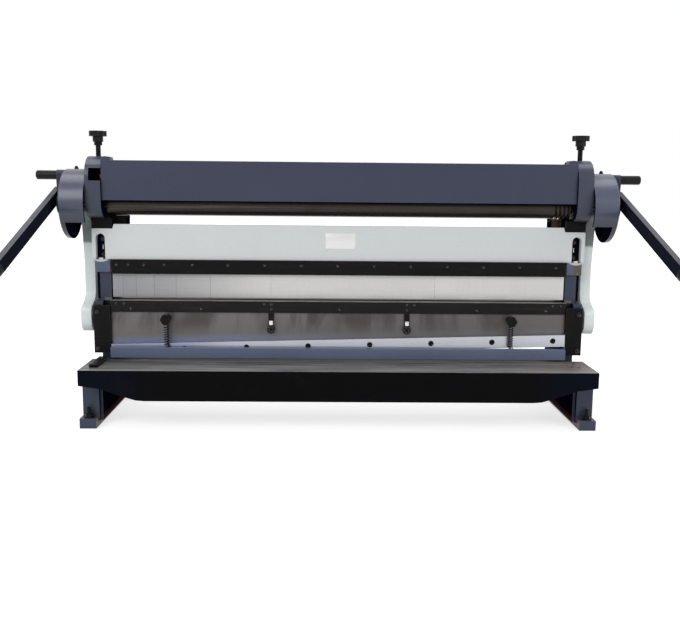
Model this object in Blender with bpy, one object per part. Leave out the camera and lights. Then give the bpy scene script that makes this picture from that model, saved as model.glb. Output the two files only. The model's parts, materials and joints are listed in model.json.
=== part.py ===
"""Combination sheet metal machine: a shear, a finger brake and a slip roll in one frame.

All sizes are in metres, +Z is up, +X is the operator's right and -Y is towards the operator.
Every piece is placed from the ram's front face (Y = 0), the floor (Z = 0) and the middle of the
working width (X = 0). The whole machine hangs on one empty, which moves it so that the world
origin lies under the middle of its bounding box.
"""
import math

import bmesh
import bpy
from mathutils import Matrix, Vector

# Driving sizes
WORK_HALF = 0.660            # half of the working width
SEAT = 0.0003                # gap between pieces that touch
OVERRUN = 0.004              # how far a cutter runs past the piece that it cuts
WELD = 0.00001               # vertices nearer than this are one
ARC_STEPS = 5                # straight runs in a rounded corner
SLIDE_CLEAR = 0.0003         # radial clearance of what slides or turns

# Side frames
FRAME_CLEAR = 0.003          # from the working width to a frame's web
FRAME_T = 0.033
FOOT_SET = 0.010             # how far a foot stands out from the web's inner face
FOOT_W = 0.046
FOOT_H = 0.028
FOOT_FRONT = -0.154
FOOT_BACK = 0.266
LEG_SET = 0.007              # how far a leg stands out from the web's inner face
LEG_W = 0.046
LEG_T = 0.025
LEG_SETBACK = 0.029          # from the foot's front end to the leg
LEG_CORNER_R = 0.016
HEEL_L = 0.041               # foot behind the web
WEB_BACK_TOP = 0.150
COLUMN_H = 0.247             # from the table to the seats of the upper beam
HEAD_H = 0.1257              # from there to the web's top, which carries the roll housings
PAD_LIP = 0.013              # how far the pad behind a gib plate stands out from the web
PAD_LIFT = 0.015             # from the table to the pad
PAD_OVER = 0.011             # how far the pad stands above its gib plate
PAD_DEPTH = 0.060

# Work table and lower knife
TABLE_TOP = 0.171
TABLE_LAP = 0.052            # table past the working width
TABLE_FRONT = -0.182
TABLE_T = 0.030
APRON_T = 0.018
APRON_H = 0.0435             # of the apron at its ends
APRON_MID_H = 0.085          # of the apron in the middle
GROOVE_W = 0.006
GROOVE_D = 0.002
GROOVE_PITCH = 0.024
KNIFE_T = 0.012
KNIFE_CLEAR = 0.0004         # shearing gap between the knives
LOWER_KNIFE_H = 0.030

# Ram, upper knife and die
RAM_T = 0.025
RAM_RIB_BACK = 0.070
RAM_RIB_H = 0.055            # height of the rib behind the ram
RAM_TONGUE = 0.020           # how far the ram's tongue runs in behind a gib plate
RAM_TRAVEL = 0.042
UPPER_KNIFE_H = 0.0345
KNIFE_LIFT = 0.006           # from the table to the raked knife's left end
KNIFE_RAKE = 0.035           # rise of the knife to its right end
KNIFE_OVERHANG = 0.004       # how far the knife reaches below the ram
DIE_RISE = 0.134             # from the table to the die
DIE_H = 0.0348
DIE_LIP = 0.005             # how far the die stands out past the ram
VEE_W = 0.024
VEE_D = 0.014

# Hold-down bar
HOLD_LIFT = 0.0050           # throat under the bar when the ram is up
HOLD_H = 0.030
HOLD_T = 0.020
HOLD_CLEAR = 0.001           # from the bar to the upper knife's face
HOLD_INSET = 0.002           # from the end of the working width to the bar's end
POST_INSET = 0.162           # from the end of the working width to a guide bolt
POST_DROP = 0.017            # from the die down to a guide bolt's axis
GUIDE_R = 0.010
STUD_R = 0.004
SPRING_WIRE_R = 0.0013
SPRING_COIL_R = 0.0070       # radius to the middle of the wire
SPRING_TURNS = 9
SPRING_POINTS = 9            # points in one turn

# Gib plates
GIB_CLEAR = 0.0014           # from the ram's end to the gib plate
GIB_T = 0.012
GIB_RISE = 0.020             # how far the plate stands above the die's underside

# Upper beam, clamp bar and fingers
BEAM_LAP = 0.020             # how far the beam reaches past the web's outer face
BEAM_FRONT = 0.024
BEAM_T = 0.020
BEAM_BODY_BACK = 0.070
BEAM_SEAT_H = 0.0375         # from the column to the beam
BEAM_RISE = 0.0129           # how far the beam's middle stands above the web's top
NOTCH_SET = 0.004            # from the end of the working width to the beam's notch
NOTCH_SLOPE = 0.004          # the notch's side leans in by this
SLOT_INSET = 0.024           # from the beam's end to the middle of its slot
SLOT_W = 0.0265
SLOT_DROP = 0.0142           # from the web's top to the slot's top
BRAKE_THROAT = 0.0047        # from the die to the fingers
FINGER_T = 0.012
FINGER_TUCK = 0.0035         # from a finger's top to the beam
FINGER_GAP = 0.0003
NARROW_FINGERS = (0.030, 0.038, 0.052, 0.064, 0.100, 0.176)   # widths from the left end
WIDE_FINGER_SHARES = (0.558, 0.442)   # of the working width that those leave
CLAMP_LAP = 0.001            # how far the clamp bar reaches past the fingers
CLAMP_T = 0.012
CLAMP_H = 0.0413
CLAMP_SCREW_PITCH = 0.106

# Connecting rods, their pins and the eccentrics
ROD_CLEAR = 0.002            # from the beam's end to the rod
ROD_T = 0.030
PIN_R = 0.012
PIN_Y = 0.033
PIN_DROP = 0.028             # from the die down to the pin's axis
ROD_EYE_R = 0.034
AXIS_Y = 0.045               # axis of the levers, eccentrics and pinch rolls
AXIS_RISE = 0.038            # from a roll housing's underside up to that axis
LEVER_SWING_DEG = 150.0      # full swing of a lever
ECC_R = 0.024
SHAFT_R = 0.016
YOKE_SLACK = 0.002           # free run of the eccentric at the ends of the yoke's slot
YOKE_SLOT_HALF_H = 0.0305    # leaves the eccentric free up and down in the opened joint
YOKE_WALL = 0.0115
YOKE_CORNER_R = 0.014

# Drums
DRUM_CLEAR = 0.0097          # from the yoke's corners to the rim
DRUM_WALL = 0.008
DRUM_W = 0.0697
DRUM_PLATE_T = 0.014
DRUM_OPEN_DROP = 0.050       # the rim is open this far below its axis
DRUM_BOSS_R = 0.027
LUG_R = 0.009

# Roll housings, rolls and gears
HOUSING_SET = 0.009          # from the web's inner face to the housing
HOUSING_W = 0.044
HOUSING_FORE = 0.078         # reach in front of the rolls' axis
HOUSING_AFT = 0.115          # reach behind it
HOUSING_H = 0.174
HOUSING_WALL = 0.030         # outer wall, which carries the bearings
SEAT_BLOCK_H = 0.0307
ROLL_R = 0.031
ROLL_END_CLEAR = 0.004
ROLL_GAP = 0.0006
JOURNAL_R = 0.014
BLOCK_HALF_W = 0.0217
BLOCK_HALF_H = 0.022
BLOCK_RISE = 0.003           # how far the knobs lift the upper roll
IDLER_DY = 0.070
IDLER_DZ = 0.012
IDLER_JOURNAL_R = 0.012
WIRE_GROOVE_R = 0.0035
WIRE_GROOVE_PITCH = 0.012
GEAR_TEETH = 16
GEAR_ADD = 0.0030
GEAR_DED = 0.0040
GEAR_W = 0.011
GEAR_CAVITY_R = 0.037

# Tie beam
TIE_SETBACK = 0.010          # from the housings' front to the beam's face
TIE_DROP = 0.012             # from the housings' top to the beam
TIE_H = 0.111
TIE_T = 0.006
TIE_FLANGE_W = 0.035

# Knobs
KNOB_SCREW_R = 0.007
KNOB_RISE = 0.071            # from the housing's top to the knob's
KNOB_HEAD_R = 0.0255
KNOB_HEAD_H = 0.015
KNOB_HUB_R = 0.0148
KNOB_HUB_H = 0.015
KNOB_LOBES = 8
NUT_R = 0.0118
NUT_H = 0.011
NUT_RISE = 0.0362            # from the housing's top to the middle of the nut

# Levers and grips
HUB_CLEAR = 0.002            # from the drum to the lever's hub
HUB_W = 0.0235
HUB_R = 0.030
ARM_SET = 0.002              # from the hub's inner end to the arm
ARM_T = 0.023
ARM_W = 0.046
ARM_RISE = 0.097             # from the axis to the arm's top
ARM_SETBACK = 0.007          # from the axis back to the arm's middle
BAR_T = 0.015
BAR_H = 0.036
BAR_RISE = 0.0228            # the bar's middle line passes this far above the axis
BAR_TAIL = 0.026             # bar behind the axis
BAR_SINK = 0.001             # how far the bar reaches into the arm
LEVER_DROP_DEG = 19.3
LEVER_L = 0.500              # from the axis to the end of the flat bar
LEVER_END_L = 0.120
LEVER_END_R = 0.014
GRIP_DROP = 0.015            # from the arm's top to its grip
GRIP_R = 0.013
GRIP_L = 0.062
GRIP_PIN_R = 0.006
END_GRIP_R = 0.018
GRIP_SOFT = 0.0025           # chamfer at a grip's end

# Sizes that follow, out from the middle
RAM_HALF = WORK_HALF
TABLE_HALF = WORK_HALF + TABLE_LAP
HOLD_HALF = WORK_HALF - HOLD_INSET
CLAMP_HALF = WORK_HALF + CLAMP_LAP
POST_X = WORK_HALF - POST_INSET
NOTCH_IN = WORK_HALF - NOTCH_SET
GIB_IN = WORK_HALF + GIB_CLEAR
FRAME_IN = WORK_HALF + FRAME_CLEAR
FOOT_IN = FRAME_IN + FOOT_SET
LEG_IN = FRAME_IN + LEG_SET
WEB_OUT = FRAME_IN + FRAME_T
PAD_OUT = WEB_OUT + PAD_LIP
TONGUE_END = FRAME_IN + RAM_TONGUE
BEAM_HALF = WEB_OUT + BEAM_LAP
SLOT_X = BEAM_HALF - SLOT_INSET
ROD_IN = BEAM_HALF + ROD_CLEAR
HOUSING_IN = FRAME_IN + HOUSING_SET
HOUSING_OUT = HOUSING_IN + HOUSING_W
WALL_IN = HOUSING_OUT - HOUSING_WALL
ROLL_HALF = HOUSING_IN - ROLL_END_CLEAR
KNOB_X = HOUSING_IN + 0.5 * HOUSING_W
DRUM_IN = HOUSING_OUT + SEAT
DRUM_OUT = DRUM_IN + DRUM_W
HUB_IN = DRUM_OUT + HUB_CLEAR
HUB_OUT = HUB_IN + HUB_W
ARM_X0 = HUB_IN + ARM_SET
ARM_X1 = ARM_X0 + ARM_T
BAR_X = ARM_X1 + 0.5 * BAR_T
GRIP_END = ARM_X1 + GRIP_L
WIDE_SPAN = 2 * WORK_HALF - sum(NARROW_FINGERS)
FINGER_WIDTHS = NARROW_FINGERS + tuple(share * WIDE_SPAN for share in WIDE_FINGER_SHARES)

# Sizes that follow, up from the floor
APRON_LOW = TABLE_TOP - APRON_H
APRON_DEEP = TABLE_TOP - APRON_MID_H
KNIFE_LOW_LEFT = TABLE_TOP + KNIFE_LIFT
DIE_LOW = TABLE_TOP + DIE_RISE
DIE_TOP = DIE_LOW + DIE_H
RAM_TOP = DIE_LOW - SEAT
RAM_RIB_LOW = DIE_LOW - RAM_RIB_H
POST_Z = DIE_LOW - POST_DROP
PIN_Z = DIE_LOW - PIN_DROP
GIB_TOP = DIE_LOW + GIB_RISE
PAD_TOP = GIB_TOP + PAD_OVER
PAD_BOTTOM = TABLE_TOP + PAD_LIFT
COLUMN_TOP = TABLE_TOP + COLUMN_H
WEB_TOP = COLUMN_TOP + HEAD_H
BEAM_LOW = COLUMN_TOP + BEAM_SEAT_H
BEAM_TOP = WEB_TOP + BEAM_RISE
SLOT_TOP = WEB_TOP - SLOT_DROP
CLAMP_LOW = BEAM_LOW - SEAT - CLAMP_H
FINGER_LOW = DIE_TOP + BRAKE_THROAT
FINGER_TOP = BEAM_LOW - FINGER_TUCK
HOUSING_LOW = WEB_TOP + SEAT_BLOCK_H + 2 * SEAT
HOUSING_TOP = HOUSING_LOW + HOUSING_H
AXIS_Z = HOUSING_LOW + AXIS_RISE
UPPER_AXIS_Z = AXIS_Z + 2 * ROLL_R + ROLL_GAP
TIE_TOP = HOUSING_TOP - TIE_DROP
TIE_LOW = TIE_TOP - TIE_H
KNOB_TOP = HOUSING_TOP + KNOB_RISE
NUT_Z = HOUSING_TOP + NUT_RISE
DRUM_OPEN_Z = AXIS_Z - DRUM_OPEN_DROP
ARM_TOP = AXIS_Z + ARM_RISE
GRIP_Z = ARM_TOP - GRIP_DROP

# Sizes that follow, from front to back
LEG_FRONT = FOOT_FRONT + LEG_SETBACK
WEB_BACK_LOW = FOOT_BACK - HEEL_L
CUT_Y = -SEAT - KNIFE_T
DIE_FRONT = -DIE_LIP
DIE_BACK = RAM_RIB_BACK + DIE_LIP
HOUSING_FRONT = AXIS_Y - HOUSING_FORE
HOUSING_BACK = AXIS_Y + HOUSING_AFT
TIE_Y = HOUSING_FRONT + TIE_SETBACK
TIE_FLANGE_BACK = TIE_Y + TIE_FLANGE_W
ARM_Y = AXIS_Y + ARM_SETBACK
THROW = RAM_TRAVEL / (1.0 - math.cos(math.radians(LEVER_SWING_DEG)))   # of the eccentric
YOKE_REACH = math.hypot(ECC_R + THROW + YOKE_SLACK + YOKE_WALL - YOKE_CORNER_R,
                        THROW + YOKE_SLOT_HALF_H + YOKE_WALL - YOKE_CORNER_R) + YOKE_CORNER_R
DRUM_R = YOKE_REACH + DRUM_CLEAR + DRUM_WALL
LEVER_TILT = math.radians(LEVER_DROP_DEG)
FRONT_REACH = ((LEVER_L + LEVER_END_L) * math.cos(LEVER_TILT)
               + (END_GRIP_R - GRIP_SOFT) * math.sin(LEVER_TILT) - AXIS_Y)
FRAME_Y = 0.5 * (FRONT_REACH - FOOT_BACK)

SIDES = (("left", -1), ("right", 1))
OUTWARD = {-1: "-X", 1: "+X"}


def clear_scene():
    for thing in list(bpy.data.objects):
        bpy.data.objects.remove(thing, do_unlink=True)


clear_scene()
PARTS = bpy.data.collections.new("combination_sheet_metal_machine")
CUTTERS = bpy.data.collections.new("cutters")
for group in (PARTS, CUTTERS):
    bpy.context.scene.collection.children.link(group)


# Materials

def paint(name, colour, roughness, metallic=0.0):
    """A plain Principled material."""
    made = bpy.data.materials.new(name)
    made.use_nodes = True
    shader = made.node_tree.nodes["Principled BSDF"]
    shader.inputs["Base Color"].default_value = (*colour, 1.0)
    shader.inputs["Roughness"].default_value = roughness
    shader.inputs["Metallic"].default_value = metallic
    return made


FINISHES = {
    "blue_paint": ((0.055, 0.066, 0.110), 0.45, 0.0),
    "grey_paint": ((0.58, 0.64, 0.64), 0.45, 0.0),
    "black_oxide": ((0.012, 0.012, 0.014), 0.45, 0.3),
    "black_paint": ((0.010, 0.010, 0.011), 0.55, 0.0),
    "black_plastic": ((0.010, 0.010, 0.010), 0.40, 0.0),
    "ground_steel": ((0.55, 0.56, 0.60), 0.28, 1.0),
    "bare_steel": ((0.30, 0.29, 0.28), 0.40, 1.0),
    "finger_steel": ((0.62, 0.62, 0.63), 0.38, 0.9),
    "bar_blue_grey": ((0.11, 0.13, 0.20), 0.40, 0.6),
    "roll_steel": ((0.16, 0.14, 0.12), 0.30, 1.0),
    "bronze": ((0.45, 0.29, 0.12), 0.40, 1.0),
}


# Tools that make shapes

MACHINE_SHIFT = Matrix.Translation((0.0, FRAME_Y, 0.0))


def add(name, mesh, finish=None, carrier=None, group=PARTS):
    """Links a mesh that is drawn in the machine's own frame, on the empty that carries it."""
    made = bpy.data.objects.new(name, mesh)
    group.objects.link(made)
    if finish is not None:
        mesh.materials.clear()
        mesh.materials.append(paint(name, *FINISHES[finish]))
    holder = carrier or MACHINE
    made.parent = holder
    made.matrix_parent_inverse = holder.matrix_world.inverted() @ MACHINE_SHIFT
    if group is CUTTERS:
        made.hide_render = True
        made.display_type = "WIRE"
    return made


def smooth(mesh, angle_deg=35.0):
    mesh.shade_smooth()
    mesh.set_sharp_from_angle(angle=math.radians(angle_deg))


def mesh_from(bm, name):
    bmesh.ops.recalc_face_normals(bm, faces=bm.faces)
    mesh = bpy.data.meshes.new(name)
    bm.to_mesh(mesh)
    bm.free()
    smooth(mesh)
    return mesh


def block_into(bm, x, y, z):
    """Adds a box that spans x, y and z."""
    size = Matrix.Diagonal((x[1] - x[0], y[1] - y[0], z[1] - z[0], 1.0))
    middle = Matrix.Translation((0.5 * (x[0] + x[1]), 0.5 * (y[0] + y[1]), 0.5 * (z[0] + z[1])))
    return bmesh.ops.create_cube(bm, size=1.0, matrix=middle @ size)["verts"]


def block(name, x, y, z):
    bm = bmesh.new()
    block_into(bm, x, y, z)
    return mesh_from(bm, name)


def span(side, inner, outer):
    """The X range of a piece that lies between two distances from the middle."""
    return (inner, outer) if side > 0 else (-outer, -inner)


AIM = {
    "+X": Matrix.Rotation(math.pi / 2, 4, "Y"),
    "-X": Matrix.Rotation(-math.pi / 2, 4, "Y"),
    "+Y": Matrix.Rotation(-math.pi / 2, 4, "X"),
    "-Y": Matrix.Rotation(math.pi / 2, 4, "X"),
    "+Z": Matrix.Identity(4),
    "-Z": Matrix.Rotation(math.pi, 4, "X"),
}


def turned_into(bm, profile, place, aim="+Z", steps=16, turn=0.0):
    """Spins a (radius, height) profile, listed from the far end back, about an axis at place."""
    start = Matrix.Rotation(turn, 4, "Z")
    rim = [bm.verts.new(start @ Vector((radius, 0.0, height))) for radius, height in profile]
    edges = [bm.edges.new(pair) for pair in zip(rim, rim[1:])]
    if profile[0][0] > 0.0:
        edges.append(bm.edges.new((rim[-1], rim[0])))
    bmesh.ops.spin(bm, geom=rim + edges, cent=(0, 0, 0), axis=(0, 0, 1),
                   angle=2 * math.pi, steps=steps, use_merge=True)
    whole = flood(rim[1])
    whole = bmesh_merge(bm, whole)
    bmesh.ops.transform(bm, matrix=Matrix.Translation(place) @ AIM[aim], verts=whole)
    return whole


def flood(first):
    """All vertices joined to the first one."""
    seen = {first}
    edge_of = [first]
    while edge_of:
        here = edge_of.pop()
        for edge in here.link_edges:
            other = edge.other_vert(here)
            if other not in seen:
                seen.add(other)
                edge_of.append(other)
    return list(seen)


def bmesh_merge(bm, verts):
    """Merges what coincides among the vertices, and returns those that are left."""
    bmesh.ops.remove_doubles(bm, verts=verts, dist=WELD)
    return [vert for vert in verts if vert.is_valid]


def turned(name, profile, place, aim="+Z", steps=24):
    bm = bmesh.new()
    turned_into(bm, profile, place, aim, steps)
    return mesh_from(bm, name)


def rod_profile(radius, low, high):
    return ((0.0, high), (radius, high), (radius, low), (0.0, low))


def rounded(corners):
    """An outline from (a, b, radius) corners, with an arc at each corner that has a radius."""
    points = []
    count = len(corners)
    for index, (a, b, radius) in enumerate(corners):
        here = Vector((a, b))
        if radius <= 0.0:
            points.append(here)
            continue
        before = Vector(corners[index - 1][:2]) - here
        after = Vector(corners[(index + 1) % count][:2]) - here
        half = 0.5 * before.angle(after)
        reach = radius / math.tan(half)
        start = here + before.normalized() * reach
        end = here + after.normalized() * reach
        middle = here + (before.normalized() + after.normalized()).normalized() * (
            radius / math.sin(half))
        first = start - middle
        last = end - middle
        sweep = first.angle_signed(last)
        for step in range(ARC_STEPS + 1):
            share = step / ARC_STEPS
            turned_by = Matrix.Rotation(-sweep * share, 2)
            points.append(middle + turned_by @ first)
    return [point for index, point in enumerate(points)
            if (point - points[index - 1]).length > WELD]


def circle_points(a, b, radius, steps=24, start=0.0):
    return [Vector((a + radius * math.cos(start + 2 * math.pi * step / steps),
                    b + radius * math.sin(start + 2 * math.pi * step / steps)))
            for step in range(steps)]


def stadium(a, b, half_a, half_b):
    """A slot outline about (a, b), rounded at the ends of its longer side."""
    end = min(half_a, half_b)
    return rounded([(a - half_a, b - half_b, end), (a + half_a, b - half_b, end),
                    (a + half_a, b + half_b, end), (a - half_a, b + half_b, end)])


PLANES = {
    "X": Matrix(((0, 0, 1, 0), (1, 0, 0, 0), (0, 1, 0, 0), (0, 0, 0, 1))),
    "Y": Matrix(((1, 0, 0, 0), (0, 0, -1, 0), (0, 1, 0, 0), (0, 0, 0, 1))),
    "Z": Matrix.Identity(4),
}


def plate(name, outlines, axis, low, high):
    """Flat outlines, the first one solid and the others holes, extruded along an axis."""
    curve = bpy.data.curves.new(name, "CURVE")
    curve.dimensions = "2D"
    curve.fill_mode = "BOTH"
    curve.extrude = 0.5 * (high - low)
    for outline in outlines:
        spline = curve.splines.new("POLY")
        spline.points.add(len(outline) - 1)
        for point, place in zip(spline.points, outline):
            point.co = (place[0], place[1], 0.0, 1.0)
        spline.use_cyclic_u = True
    holder = bpy.data.objects.new(name, curve)
    bpy.context.scene.collection.objects.link(holder)
    bpy.context.view_layer.update()
    graph = bpy.context.evaluated_depsgraph_get()
    mesh = bpy.data.meshes.new_from_object(holder.evaluated_get(graph))
    bpy.data.objects.remove(holder)
    middle = 0.5 * (low + high)
    place = {"X": (middle, 0, 0), "Y": (0, middle, 0), "Z": (0, 0, middle)}[axis]
    mesh.transform(Matrix.Translation(place) @ PLANES[axis])
    bm = bmesh.new()
    bm.from_mesh(mesh)
    bmesh.ops.remove_doubles(bm, verts=bm.verts, dist=WELD)
    bpy.data.meshes.remove(mesh)
    return mesh_from(bm, name)


def boolean(target, cutter_mesh, operation, name):
    """Cuts from the target, or joins to it, a mesh drawn in the machine's frame."""
    helper = add(name, cutter_mesh, group=CUTTERS)
    modifier = target.modifiers.new(name, "BOOLEAN")
    modifier.operation = operation
    modifier.solver = "EXACT"
    modifier.object = helper
    return helper


def cut(target, cutter_mesh, name):
    return boolean(target, cutter_mesh, "DIFFERENCE", "cut_" + name)


def join(target, piece_mesh, name):
    return boolean(target, piece_mesh, "UNION", "join_" + name)


def drill(target, places, radius, aim, low, high, name, steps=10):
    """Cuts round holes along one direction, from low to high past each place."""
    bm = bmesh.new()
    for place in places:
        turned_into(bm, rod_profile(radius, low, high), place, aim, steps)
    return cut(target, mesh_from(bm, name), name)


# Axes and guides

MACHINE = bpy.data.objects.new("machine", None)
PARTS.objects.link(MACHINE)
MACHINE.location = (0.0, FRAME_Y, 0.0)
bpy.context.view_layer.update()


def guide(name, x, y, z, parent=None):
    made = bpy.data.objects.new(name, None)
    PARTS.objects.link(made)
    holder = parent or MACHINE
    made.parent = holder
    made.matrix_parent_inverse = holder.matrix_world.inverted() @ MACHINE_SHIFT
    made.location = (x, y, z)
    bpy.context.view_layer.update()
    return made


RAM_GUIDE = guide("ram_guide", 0.0, PIN_Y, PIN_Z)
HOLD_GUIDE = guide("hold_down_guide", 0.0, CUT_Y, TABLE_TOP + HOLD_LIFT, RAM_GUIDE)
LEVER_AXES = {side: guide("lever_axis_" + side, sign * BAR_X, AXIS_Y, AXIS_Z)
              for side, sign in SIDES}
LOWER_AXIS = guide("lower_roll_axis", 0.0, AXIS_Y, AXIS_Z)
IDLER_AXIS = guide("idler_roll_axis", 0.0, AXIS_Y + IDLER_DY, AXIS_Z + IDLER_DZ)
BLOCK_GUIDES = {side: guide("block_guide_" + side, sign * KNOB_X, AXIS_Y, UPPER_AXIS_Z)
                for side, sign in SIDES}
UPPER_AXIS = guide("upper_roll_axis", 0.0, AXIS_Y, UPPER_AXIS_Z, BLOCK_GUIDES["left"])
KNOB_AXES = {side: guide("knob_axis_" + side, sign * KNOB_X, AXIS_Y, KNOB_TOP, BLOCK_GUIDES[side])
             for side, sign in SIDES}


# Values that belong to single pieces

TABLE_SEAT = TABLE_TOP - TABLE_T - SEAT
WEB_FRONT = RAM_T + SEAT
WEB_SHOULDER_RISE = 0.129    # from the table up to where the web's back turns vertical
WEB_SHOULDER_Z = TABLE_TOP + WEB_SHOULDER_RISE
WEB_FOOT_DROP = 0.021        # from the table down to where it turns vertical again
WEB_FOOT_Z = TABLE_TOP - WEB_FOOT_DROP
WEB_CURVE_R = 0.060
TIE_BAR_INSET = 0.035        # from the web's back
TIE_BAR_Y = WEB_BACK_LOW - TIE_BAR_INSET
TIE_BAR_Z = 0.128
TIE_BAR_R = 0.016
TIE_BAR_NECK_R = 0.010
TIE_BAR_END = 0.006
PIN_SLOT_CLEAR = 0.0005
FOOT_BOLT_FORE = 0.014       # from the foot's front end
FOOT_BOLT_AFT = 0.021        # from its back end
FOOT_BOLT_Y = (FOOT_FRONT + FOOT_BOLT_FORE, FOOT_BACK - FOOT_BOLT_AFT)
FOOT_STUD_R = 0.005
GIB_SCREW_INSET = 0.012      # from the plate's outer edge
GIB_SCREW_X = PAD_OUT - GIB_SCREW_INSET
GIB_SCREW_LOW = 0.013        # from the plate's lower edge
GIB_SCREW_HIGH = 0.0185      # from its upper edge
GIB_SCREW_Z = (PAD_BOTTOM + GIB_SCREW_LOW, GIB_TOP - GIB_SCREW_HIGH)
GIB_SHANK_R = 0.004
GIB_SHANK_L = 0.015
BEAM_SCREW_SET = 0.0055      # from the slot's middle
BEAM_SCREW_X = SLOT_X - BEAM_SCREW_SET
BEAM_SCREW_RISE = 0.0125     # from the beam's lower edge to the first screw
BEAM_SCREW_PITCH = 0.045
BEAM_SCREW_Z = (BEAM_LOW + BEAM_SCREW_RISE, BEAM_LOW + BEAM_SCREW_RISE + BEAM_SCREW_PITCH)
BEAM_SHANK_R = 0.004
BEAM_SHANK_L = 0.020
HIDDEN = 0.5                 # share of a wall that a joined piece reaches into


def mirrored(sign, corners):
    """Corners drawn for the right side, turned over for the left one."""
    if sign > 0:
        return corners
    return [(-a, b, radius) for a, b, radius in reversed(corners)]


def side_frame(side, sign):
    name = "side_frame_" + side
    leg_back = LEG_FRONT + HIDDEN * LEG_T
    beam_back = BEAM_FRONT + BEAM_T + SEAT
    foot_in = HIDDEN * FOOT_H
    outline = rounded([
        (leg_back, foot_in, 0), (leg_back, TABLE_SEAT, 0), (WEB_FRONT, TABLE_SEAT, 0),
        (WEB_FRONT, COLUMN_TOP, 0), (beam_back, COLUMN_TOP, 0), (beam_back, WEB_TOP, 0),
        (WEB_BACK_TOP, WEB_TOP, WEB_CURVE_R / 3), (WEB_BACK_TOP, WEB_SHOULDER_Z, WEB_CURVE_R),
        (WEB_BACK_LOW, WEB_FOOT_Z, WEB_CURVE_R), (WEB_BACK_LOW, foot_in, 0)])
    frame = add(name, plate(name, [outline], "X", *span(sign, FRAME_IN, WEB_OUT)), "blue_paint")
    foot = block(name, span(sign, FOOT_IN, FOOT_IN + FOOT_W), (FOOT_FRONT, FOOT_BACK), (0, FOOT_H))
    join(frame, foot, "foot_" + side)
    leg = rounded(mirrored(sign, [
        (LEG_IN, foot_in, 0), (LEG_IN + LEG_W, foot_in, 0),
        (LEG_IN + LEG_W, TABLE_SEAT - SEAT, 0), (LEG_IN, TABLE_SEAT - SEAT, LEG_CORNER_R)]))
    join(frame, plate(name, [leg], "Y", LEG_FRONT, LEG_FRONT + LEG_T), "leg_" + side)
    pad = block(name, span(sign, TONGUE_END + SEAT, PAD_OUT), (0, PAD_DEPTH),
                (PAD_BOTTOM, PAD_TOP))
    join(frame, pad, "pad_" + side)
    slot = stadium(PIN_Y, PIN_Z - 0.5 * RAM_TRAVEL, PIN_R + PIN_SLOT_CLEAR,
                   0.5 * RAM_TRAVEL + PIN_R + 2 * PIN_SLOT_CLEAR)
    cut(frame, plate(name, [slot], "X", *span(sign, FRAME_IN - OVERRUN, PAD_OUT + OVERRUN)),
        "pin_slot_" + side)
    middle = sign * (FRAME_IN + 0.5 * FRAME_T)
    drill(frame, [(middle, TIE_BAR_Y, TIE_BAR_Z)], TIE_BAR_NECK_R + SEAT, "+X",
          -FRAME_T, FRAME_T, "tie_hole_" + side, 16)
    drill(frame, [(sign * (FOOT_IN + 0.5 * FOOT_W), y, 0) for y in FOOT_BOLT_Y],
          FOOT_STUD_R + SLIDE_CLEAR, "+Z", -OVERRUN, FOOT_H + OVERRUN, "foot_holes_" + side, 6)
    drill(frame, [(sign * GIB_SCREW_X, 0, z) for z in GIB_SCREW_Z], GIB_SHANK_R + SLIDE_CLEAR,
          "-Y", -GIB_SHANK_L, OVERRUN, "gib_holes_" + side, 8)
    drill(frame, [(sign * BEAM_SCREW_X, beam_back, z) for z in BEAM_SCREW_Z],
          BEAM_SHANK_R + SLIDE_CLEAR, "-Y", -BEAM_SHANK_L - OVERRUN, OVERRUN,
          "beam_holes_" + side, 8)


def tie_bar():
    reach = WEB_OUT + TIE_BAR_END
    shoulder = FRAME_IN - SEAT
    profile = ((0, reach), (TIE_BAR_NECK_R, reach), (TIE_BAR_NECK_R, shoulder),
               (TIE_BAR_R, shoulder), (TIE_BAR_R, -shoulder), (TIE_BAR_NECK_R, -shoulder),
               (TIE_BAR_NECK_R, -reach), (0, -reach))
    add("tie_bar", turned("tie_bar", profile, (0, TIE_BAR_Y, TIE_BAR_Z), "+X", 16), "blue_paint")


# The table, its knife and its gauge

KNIFE_SCREW_R = 0.0047
KNIFE_BORE_R = 0.0085
KNIFE_BORE_D = 0.009
LOWER_KNIFE_SCREWS = 8
UPPER_KNIFE_SHARES = (-0.95, -0.679, -0.407, -0.136, 0.136, 0.407, 0.677, 0.947)
GAUGE_INSET = 0.022          # from the table's left end
GAUGE_W = 0.024
GAUGE_FORE = 0.036           # from the table's front edge
GAUGE_L = 0.112
GAUGE_H = 0.009
TABLE_HOLE_INSETS = (0.038, 0.035, 0.052)   # from the table's right end
TABLE_HOLE_FORES = (0.122, 0.070, 0.082)    # from its front edge
TABLE_HOLE_R = 0.005
TABLE_HOLE_D = 0.012
GROOVES = 3
GROOVE_BACK = 0.020          # from the table's rear edge to the first groove
DEEP_SHARES = ((0.985, 0.80), (0.875, 0.21), (0.84, 0.045), (0.805, 0.0))   # apron's curve
LOWER_KNIFE_BACK = CUT_Y - KNIFE_CLEAR
TABLE_BACK = LOWER_KNIFE_BACK - KNIFE_T - SEAT


def even_places(count, half):
    """Places along X, evenly spread about the middle, half a pitch in from each end."""
    pitch = 2 * half / count
    return [-half + pitch * (index + 0.5) for index in range(count)]


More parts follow.
